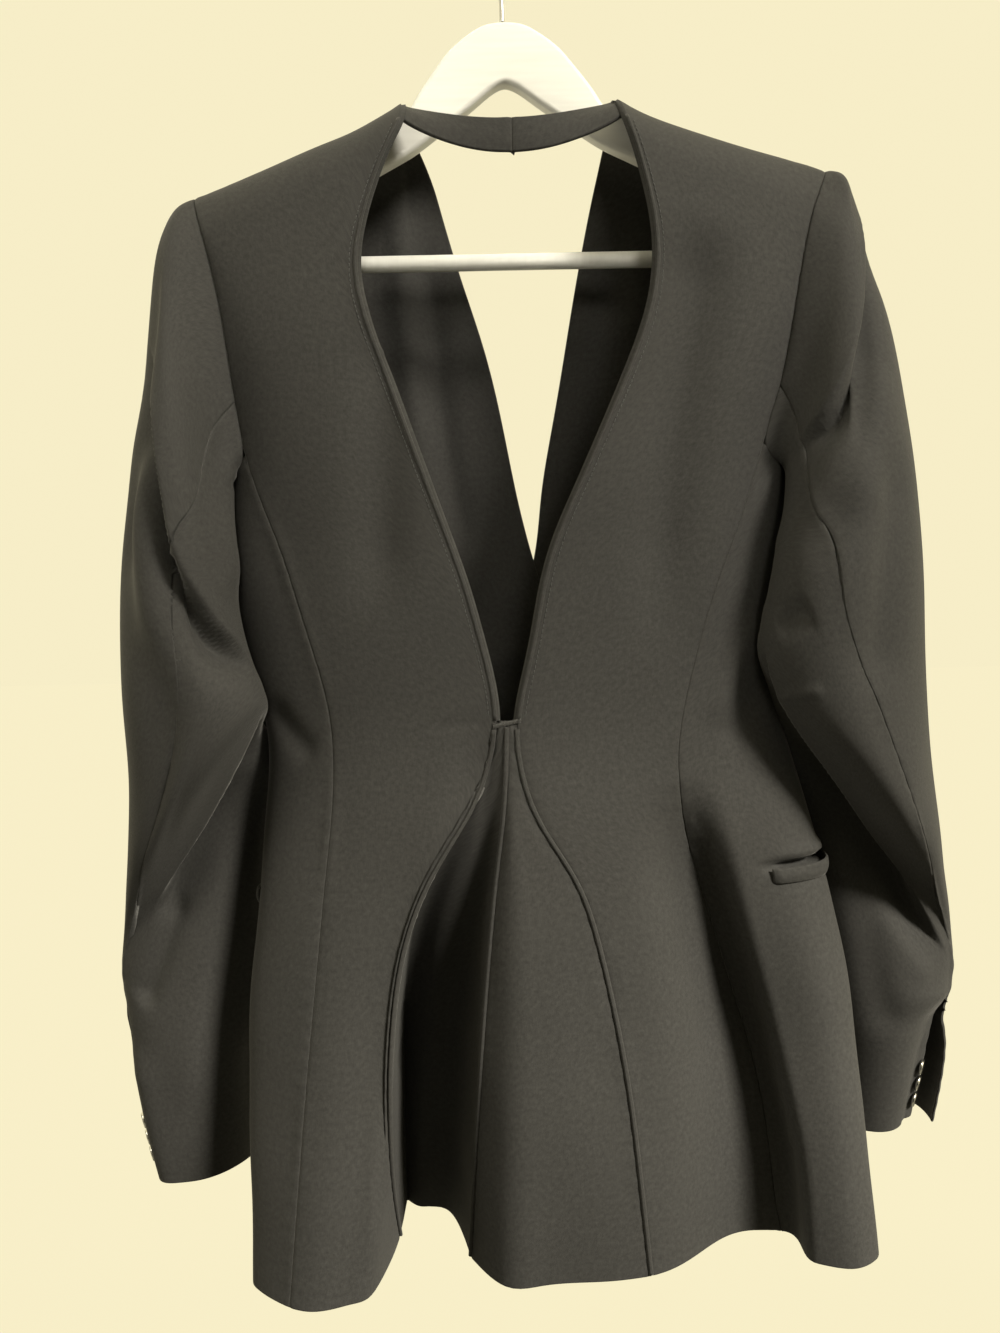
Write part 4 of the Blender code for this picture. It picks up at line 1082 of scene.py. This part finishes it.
# %% [markdown]
# ## Buttons
# Three small metal buttons sit on each cuff, and a black one closes the front. A button is a turned
# thing: its profile is drawn once and spun. The frame's plain discs give the place, and the thinnest
# direction of a disc gives the way it faces. A cuff's cloth moved with its creases, so its buttons move
# along with it. The front button has four holes, cut by a Boolean, and thread through them.

# %% Spin a profile
def spin(name, profile, material, sides=40):
    """Spin pairs of radius and height, in millimetres, about the z axis into a closed mesh."""
    points = []
    for radius, height in profile:
        for step in range(sides):
            angle = 2.0 * math.pi * step / sides
            points.append((radius * MM * math.cos(angle), radius * MM * math.sin(angle), height * MM))
    mesh = bpy.data.meshes.new(name)
    mesh.from_pydata(points, [], tube_faces(len(profile), sides))
    mesh.shade_smooth()
    return link_object(name, mesh, material)


def disc_place(node, outward):
    """Where a disc of the frame is, turned so that z points along its axis, on the outward side."""
    points = np.array([corner.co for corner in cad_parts[node].data.vertices])
    axis = np.linalg.svd(points - points.mean(axis=0))[2][2]
    axis = Vector(axis if np.dot(axis, outward) > 0 else -axis)
    low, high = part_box(node)
    return Matrix.Translation((low + high) / 2.0) @ axis.to_track_quat("Z", "Y").to_matrix().to_4x4()


RUBBED = 0.3


def make_metal(name, colour, roughness):
    """Bright metal with fine rubbing marks."""
    material, tree, shader = new_material(name)
    set_sockets(shader, Base_Color=colour, Metallic=1.0)
    marks = add_node(tree, "ShaderNodeTexNoise", Scale=900.0, Detail=3.0)
    polish = add_node(tree, "ShaderNodeMapRange", To_Min=roughness * (1.0 - RUBBED),
                      To_Max=roughness * (1.0 + RUBBED))
    tree.links.new(marks.outputs["Fac"], polish.inputs["Value"])
    tree.links.new(polish.outputs["Result"], shader.inputs["Roughness"])
    return material


# %% Cuff buttons
CUFF_BUTTON = ((0.9, -2.4), (0.9, -1.3), (3.4, -1.25), (4.8, -1.0), (5.4, -0.4), (5.5, 0.2), (5.3, 0.7),
               (4.9, 1.0), (4.5, 1.05), (4.1, 0.9), (3.8, 0.7), (3.2, 0.85), (2.2, 1.1), (1.1, 1.25),
               (0.2, 1.3))
button_metal = make_metal("button_metal", (0.80, 0.78, 0.72), 0.22)
for side, number in itertools.product(SIDES, (1, 2, 3)):
    node = "cuff_button_%s_%d" % (side, number)
    button = spin(node + "_turned", CUFF_BUTTON, button_metal)
    place = disc_place(node, TO_SIDE[side])
    spot, facing = np.array([place.to_translation()]), np.array([place.col[2].to_3d()])
    follow = creased_height("sleeve_%s_under" % side, spot, facing)[0]
    button.matrix_world = place @ Matrix.Translation((0.0, 0.0, follow))
    stand_for(button, node)
    print(node, "follows the cloth by %.1f mm" % (follow / MM))

# %% Front button
FRONT_BUTTON = ((7.0, -2.0), (9.0, -1.7), (9.8, -0.9), (10.0, 0.0), (9.9, 0.9), (9.3, 1.7), (8.4, 2.0),
                (7.6, 1.8), (7.0, 1.2), (6.0, 0.9), (3.0, 0.8), (0.3, 0.8))
BUTTON_DARK, BUTTON_LIGHT = (0.012, 0.012, 0.012), (0.05, 0.045, 0.04)
BUTTON_CREASE = math.radians(40.0)
HOLE_REACH = 1.9 * MM
HOLE_RADIUS = 0.95 * MM
HOLE_DEPTH = 10.0 * MM
HOLES = [(x * HOLE_REACH, y * HOLE_REACH) for x in (-1, 1) for y in (-1, 1)]
THREAD_RADIUS = 0.5 * MM
THREAD_REACH = 1.2 * HOLE_REACH
THREAD_LIFT = 0.9 * MM


def make_resin():
    """Black resin with a faint cloud, as buttons of suits have."""
    material, tree, shader = new_material("black_button")
    cloud = add_node(tree, "ShaderNodeTexNoise", Scale=180.0, Detail=4.0)
    colour = colour_ramp(tree, cloud.outputs["Fac"], ((0.35, BUTTON_DARK), (0.75, BUTTON_LIGHT)))
    tree.links.new(colour, shader.inputs["Base Color"])
    set_sockets(shader, Roughness=0.3)
    return material


def pierced(piece, places, radius):
    """Cut round holes through a piece with a Boolean and keep the cut mesh."""
    cutter = bmesh.new()
    for x, y in places:
        bmesh.ops.create_cone(cutter, cap_ends=True, segments=16, radius1=radius, radius2=radius,
                              depth=HOLE_DEPTH, matrix=Matrix.Translation((x, y, 0.0)))
    mesh = bpy.data.meshes.new("holes")
    cutter.to_mesh(mesh)
    cutter.free()
    holes = bpy.data.objects.new("holes", mesh)
    bpy.context.scene.collection.objects.link(holes)
    cut = piece.modifiers.new("holes", "BOOLEAN")
    cut.object = holes
    cut.operation = "DIFFERENCE"
    whole = piece.evaluated_get(bpy.context.evaluated_depsgraph_get())
    piece.data = bpy.data.meshes.new_from_object(whole)
    piece.modifiers.clear()
    bpy.data.objects.remove(holes)


front_button = spin("front_button_turned", FRONT_BUTTON, make_resin(), sides=48)
pierced(front_button, HOLES, HOLE_RADIUS)
front_button.data.set_sharp_from_angle(angle=BUTTON_CREASE)
place = disc_place("front_button", FORWARD)
front_button.matrix_world = place
stand_for(front_button, "front_button")
away = np.array(place.to_3x3() @ Vector((0.0, 0.0, 1.0)))
sewing = []
for x in (-HOLE_REACH, HOLE_REACH):
    ends = [np.array(place @ Vector((x, y, THREAD_LIFT))) for y in (-THREAD_REACH, THREAD_REACH)]
    sewing.append((*ends, away))
make_stitches("front_button_thread", sewing, THREAD_RADIUS, black_thread)
print("front button:", len(front_button.data.polygons), "faces")

# %% [markdown]
# ## The hanger
# The hanger is a board of white lacquered wood with a round bar and a wire hook. The frame's board has
# the right outline in short straight stretches, so the outline is read back from its side, its corners
# are averaged away, and the edges are rounded over as a router does. The bar is a turned dowel, and the
# hook is one bent wire.

# %% White lacquer
GRAIN_STRETCH = (20.0, 300.0, 300.0)
LACQUER_DARK, LACQUER_LIGHT = (0.80, 0.79, 0.75), (0.86, 0.85, 0.81)


def make_lacquer():
    """White lacquer over wood: a clear coat with a faint grain under it."""
    material, tree, shader = new_material("white_lacquer")
    place = tree.nodes.new("ShaderNodeTexCoord")
    stretch = add_node(tree, "ShaderNodeMapping", Scale=GRAIN_STRETCH)
    tree.links.new(place.outputs["Object"], stretch.inputs["Vector"])
    grain = noise(tree, stretch.outputs["Vector"], Scale=1.0, Detail=3.0)
    colour = colour_ramp(tree, grain, ((0.3, LACQUER_DARK), (0.7, LACQUER_LIGHT)))
    tree.links.new(colour, shader.inputs["Base Color"])
    set_sockets(shader, Roughness=0.42, Coat_Weight=0.25, Coat_Roughness=0.2)
    return material


lacquer = make_lacquer()
print("made", lacquer.name)

# %% The board's outline
OUTLINE_STEP = 2.0 * MM
OUTLINE_PASSES = 8


def board_outline(node):
    """The edge of the board's flat side in x and z, in order."""
    work = bmesh.new()
    work.from_mesh(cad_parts[node].data)
    bmesh.ops.remove_doubles(work, verts=work.verts, dist=WELD)
    nearest = min(corner.co.y for corner in work.verts)
    flat = {face for face in work.faces if all(abs(corner.co.y - nearest) < WELD for corner in face.verts)}
    following = {}
    for face in flat:
        for loop in face.loops:
            if loop.link_loop_radial_next.face not in flat:
                following[loop.vert] = loop.link_loop_next.vert
    walked = [next(iter(following))]
    while following[walked[-1]] != walked[0]:
        walked.append(following[walked[-1]])
    outline = np.array([(point.co.x, point.co.z) for point in walked])
    work.free()
    return outline


def closed_curve(points, step, passes):
    """Even points along a closed outline, with its corners rounded by averaging neighbours."""
    closed = np.concatenate((points, points[:1]))
    length = lengths_along(closed)
    places = np.linspace(0.0, length[-1], round(length[-1] / step), endpoint=False)
    curve = np.stack([np.interp(places, length, closed[:, axis]) for axis in (0, 1)], axis=-1)
    for _ in range(passes):
        curve = (np.roll(curve, 1, axis=0) + 2.0 * curve + np.roll(curve, -1, axis=0)) / 4.0
    return curve


outline = closed_curve(board_outline("hanger_body"), OUTLINE_STEP, OUTLINE_PASSES)
print("board:", len(outline), "points round its outline")

# %% Round the board over
BOARD_ROUND = 3.2 * MM
BOARD_BEVEL = 2.0 * MM
ROUND_STEPS = 6
WOOD_CREASE = math.radians(50.0)


def inward_ways(outline):
    """Directions that point into a closed outline."""
    following, before = np.roll(outline, -1, axis=0), np.roll(outline, 1, axis=0)
    along = following - before
    area = np.sum(outline[:, 0] * following[:, 1] - following[:, 0] * outline[:, 1])
    return unit(np.stack((-along[:, 1], along[:, 0]), axis=-1)) * math.copysign(1.0, area)


low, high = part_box("hanger_body")
half = (high.y - low.y) / 2.0
inward = inward_ways(outline)
points, rings = [], 0
for sign, order in ((-1.0, range(ROUND_STEPS, -1, -1)), (1.0, range(ROUND_STEPS + 1))):
    for step in order:
        angle = math.pi / 2.0 * step / ROUND_STEPS
        ring = outline + inward * (BOARD_ROUND * (1.0 - math.cos(angle)) - BOARD_BEVEL)
        depth = sign * (half - BOARD_ROUND + BOARD_ROUND * math.sin(angle))
        points += [(x, depth, z) for x, z in ring]
        rings += 1
mesh = bpy.data.meshes.new("hanger_board")
mesh.from_pydata(points, [], tube_faces(rings, len(outline)))
face_outward(mesh)
mesh.shade_smooth()
mesh.set_sharp_from_angle(angle=WOOD_CREASE)
board = link_object("hanger_board", mesh, lacquer)
stand_for(board, "hanger_body")
print("board: %.0f mm thick, %d rings" % (2.0 * half / MM, rings))

# %% Bar
BAR_END_ROUND, BAR_CHAMFER, BAR_TIP = 1.2, 0.35, 0.4
low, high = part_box("hanger_bar")
bar_radius, bar_half = (high.z - low.z) / 2.0 / MM, (high.x - low.x) / 2.0 / MM
half_profile = ((BAR_TIP, -bar_half), (bar_radius - BAR_END_ROUND, -bar_half),
                (bar_radius - BAR_CHAMFER, BAR_CHAMFER - bar_half), (bar_radius, BAR_END_ROUND - bar_half))
bar_profile = (*half_profile, *((radius, -height) for radius, height in half_profile[::-1]))
bar = spin("hanger_dowel", bar_profile, lacquer, sides=48)
bar.data.set_sharp_from_angle(angle=WOOD_CREASE)
bar.matrix_world = Matrix.Translation((low + high) / 2.0) @ Matrix.Rotation(math.pi / 2.0, 4, "Y")
stand_for(bar, "hanger_bar")
print("bar: %.0f mm long" % (2.0 * bar_half))

# %% Hook
HOOK_NECK = ((0, -69.7), (0, -58), (0, -50), (3.5, -43), (10, -36), (16.5, -28.5))
HOOK_CENTRE, HOOK_REACH, HOOK_TIP = -18.0, 19.5, 205.0
BEND_POINTS = 15
WIRE_STEPS = 6
WIRE_RADIUS = 1.5 * MM
turns = np.radians(np.linspace(0.0, HOOK_TIP, BEND_POINTS))
bend = [(HOOK_REACH * math.cos(turn), HOOK_CENTRE + HOOK_REACH * math.sin(turn)) for turn in turns]
wire = np.array([(x, 0.0, z) for x, z in (*HOOK_NECK, *bend)]) * MM
wire = smooth_rows(wire, np.linspace(0.0, len(wire) - 1.0, WIRE_STEPS * len(wire)))
away = np.tile(BACKWARD, (len(wire), 1))
across = unit(np.cross(np.gradient(wire, axis=0), away))
hook_metal = make_metal("hook_metal", (0.62, 0.61, 0.58), 0.28)
hook = sweep("hanger_wire", wire, across, away, round_profile(WIRE_RADIUS, WIRE_RADIUS, sides=20), hook_metal)
stand_for(hook, "hanger_hook")
print("hook: %.0f mm of wire" % (lengths_along(wire)[-1] / MM))

# %% [markdown]
# ## Stage, light and camera
# The floor is plain and pale and lies far below the hem, because the blazer hangs. It glows as the room
# does, so that no line shows where the two meet. The light is a bright, even room with a large soft lamp
# high on the right and a weak one on the left, and a narrow spot reaches the inside of the fronts through
# the opening. An even room alone would light every fold to its bottom, so four dark cards, which the
# camera doesn't see, shade the cloth as a real room's dark sides do. The camera stands where the
# photograph was taken: close to the back, looking down a little and rolled by a degree.

# %% Floor and room
FLOOR_HEIGHT = -1.75
FLOOR_REACH = 20.0
FLOOR_BASE = (0.01, 0.009, 0.006)
ROOM_COLOUR = (1.0, 0.915, 0.62)
ROOM_STRENGTH = 0.93
SQUARE = ((-1, -1), (1, -1), (1, 1), (-1, 1))

floor_corners = [(x * FLOOR_REACH, y * FLOOR_REACH, FLOOR_HEIGHT) for x, y in SQUARE]
floor_mesh = bpy.data.meshes.new("floor")
floor_mesh.from_pydata(floor_corners, [], [(0, 1, 2, 3)])
floor_material, _, floor_shader = new_material("pale_floor")
set_sockets(floor_shader, Base_Color=FLOOR_BASE, Emission_Color=ROOM_COLOUR, Emission_Strength=ROOM_STRENGTH,
            Roughness=0.9, Specular_IOR_Level=0.0)
link_object("floor", floor_mesh, floor_material)

world = bpy.data.worlds.new("pale_room")
bpy.context.scene.world = world
world.use_nodes = True
set_sockets(world.node_tree.nodes["Background"], Color=ROOM_COLOUR, Strength=ROOM_STRENGTH)
bpy.context.scene.view_settings.view_transform = "Standard"
print("floor at", FLOOR_HEIGHT, "m")

# %% Dark cards
# Each card's centre, its width and its height as directions, in metres, and how dark it is.
CARDS = {
    "dark_front": ((-0.2, -1.55, -0.6), (4.6, 0.0, 0.0), (0.0, 0.0, 2.2), 1.0),
    "dark_left": ((-1.05, -0.4, -0.95), (0.0, 1.4, 0.0), (0.0, 0.0, 0.7), 0.7),
    "dark_below": ((0.0, -0.3, -1.2), (2.4, 0.0, 0.0), (0.0, 2.2, 0.0), 0.75),
    "shoulder_shade": ((0.44, -0.48, 0.19), (0.8, 0.0, 0.0), (0.0, 0.0, 0.64), 0.55),
}
CARD_BLACK = (0.02, 0.02, 0.02)


def add_card(name, centre, across, up, opacity):
    """A dark card that keeps stray light off the cloth. The camera doesn't see it."""
    centre, across, up = (np.array(place) for place in (centre, across, up))
    corners = [centre + across * right / 2.0 + up * above / 2.0 for right, above in SQUARE]
    mesh = bpy.data.meshes.new(name)
    mesh.from_pydata([tuple(corner) for corner in corners], [], [(0, 1, 2, 3)])
    material, _, shader = new_material(name)
    set_sockets(shader, Base_Color=CARD_BLACK, Roughness=1.0, Alpha=opacity)
    card = link_object(name, mesh, material)
    card.visible_camera = False


for name, card in CARDS.items():
    add_card(name, *card)
print("cards:", list(CARDS))

# %% Lamps
WARM, WARM_LEFT = (1.0, 0.95, 0.82), (1.0, 0.96, 0.86)
BLAZER_MIDDLE = (0.0, 0.0, -0.5)
INSIDE_FRONTS = (0.0, 0.06, -0.26)


def add_lamp(name, kind, place, aim, power, colour, **settings):
    """Hang a lamp at a place and aim it. Its other settings are those of its kind."""
    lamp = bpy.data.lights.new(name, kind)
    for setting, value in dict(settings, energy=power, color=colour).items():
        setattr(lamp, setting, value)
    holder = bpy.data.objects.new(name, lamp)
    holder.location = place
    holder.rotation_euler = (Vector(aim) - Vector(place)).to_track_quat("-Z", "Y").to_euler()
    holder.visible_camera = False
    bpy.context.scene.collection.objects.link(holder)


add_lamp("lamp_key", "AREA", (2.85, -2.85, 2.3), BLAZER_MIDDLE, 620.0, WARM, shape="DISK", size=1.2)
add_lamp("lamp_left", "AREA", (-2.6, -0.8, 0.2), BLAZER_MIDDLE, 14.0, WARM_LEFT, shape="DISK", size=1.0)
add_lamp("lamp_inside", "SPOT", (0.1, -0.95, -0.2), INSIDE_FRONTS, 80.0, WARM,
         spot_size=math.radians(14.0), spot_blend=0.6, shadow_soft_size=0.3)
print("lamps:", bpy.data.lights.keys())

# %% Camera
CAMERA_PLACE = Vector((-0.0092, -0.64, -0.4332))
FOCAL_PIXELS, LONG_SIDE = 1000.0, 1333.0
PITCH, ROLL = math.radians(3.1), math.radians(1.15)
SENSOR = 36.0
ahead = Vector((0.0, math.cos(PITCH), -math.sin(PITCH)))
level_up = Vector((0.0, math.sin(PITCH), math.cos(PITCH)))
rightward = Vector((1.0, 0.0, 0.0)) * math.cos(ROLL) - level_up * math.sin(ROLL)
upward = level_up * math.cos(ROLL) + Vector((1.0, 0.0, 0.0)) * math.sin(ROLL)
camera_data = bpy.data.cameras.new("photo_camera")
camera_data.sensor_width = SENSOR
camera_data.lens = FOCAL_PIXELS / LONG_SIDE * SENSOR
camera_data.clip_start = 0.01
camera = bpy.data.objects.new("photo_camera", camera_data)
camera.matrix_world = Matrix((rightward, upward, -ahead)).transposed().to_4x4()
camera.location = CAMERA_PLACE
bpy.context.scene.collection.objects.link(camera)
bpy.context.scene.camera = camera
print("camera lens %.1f mm" % camera_data.lens)
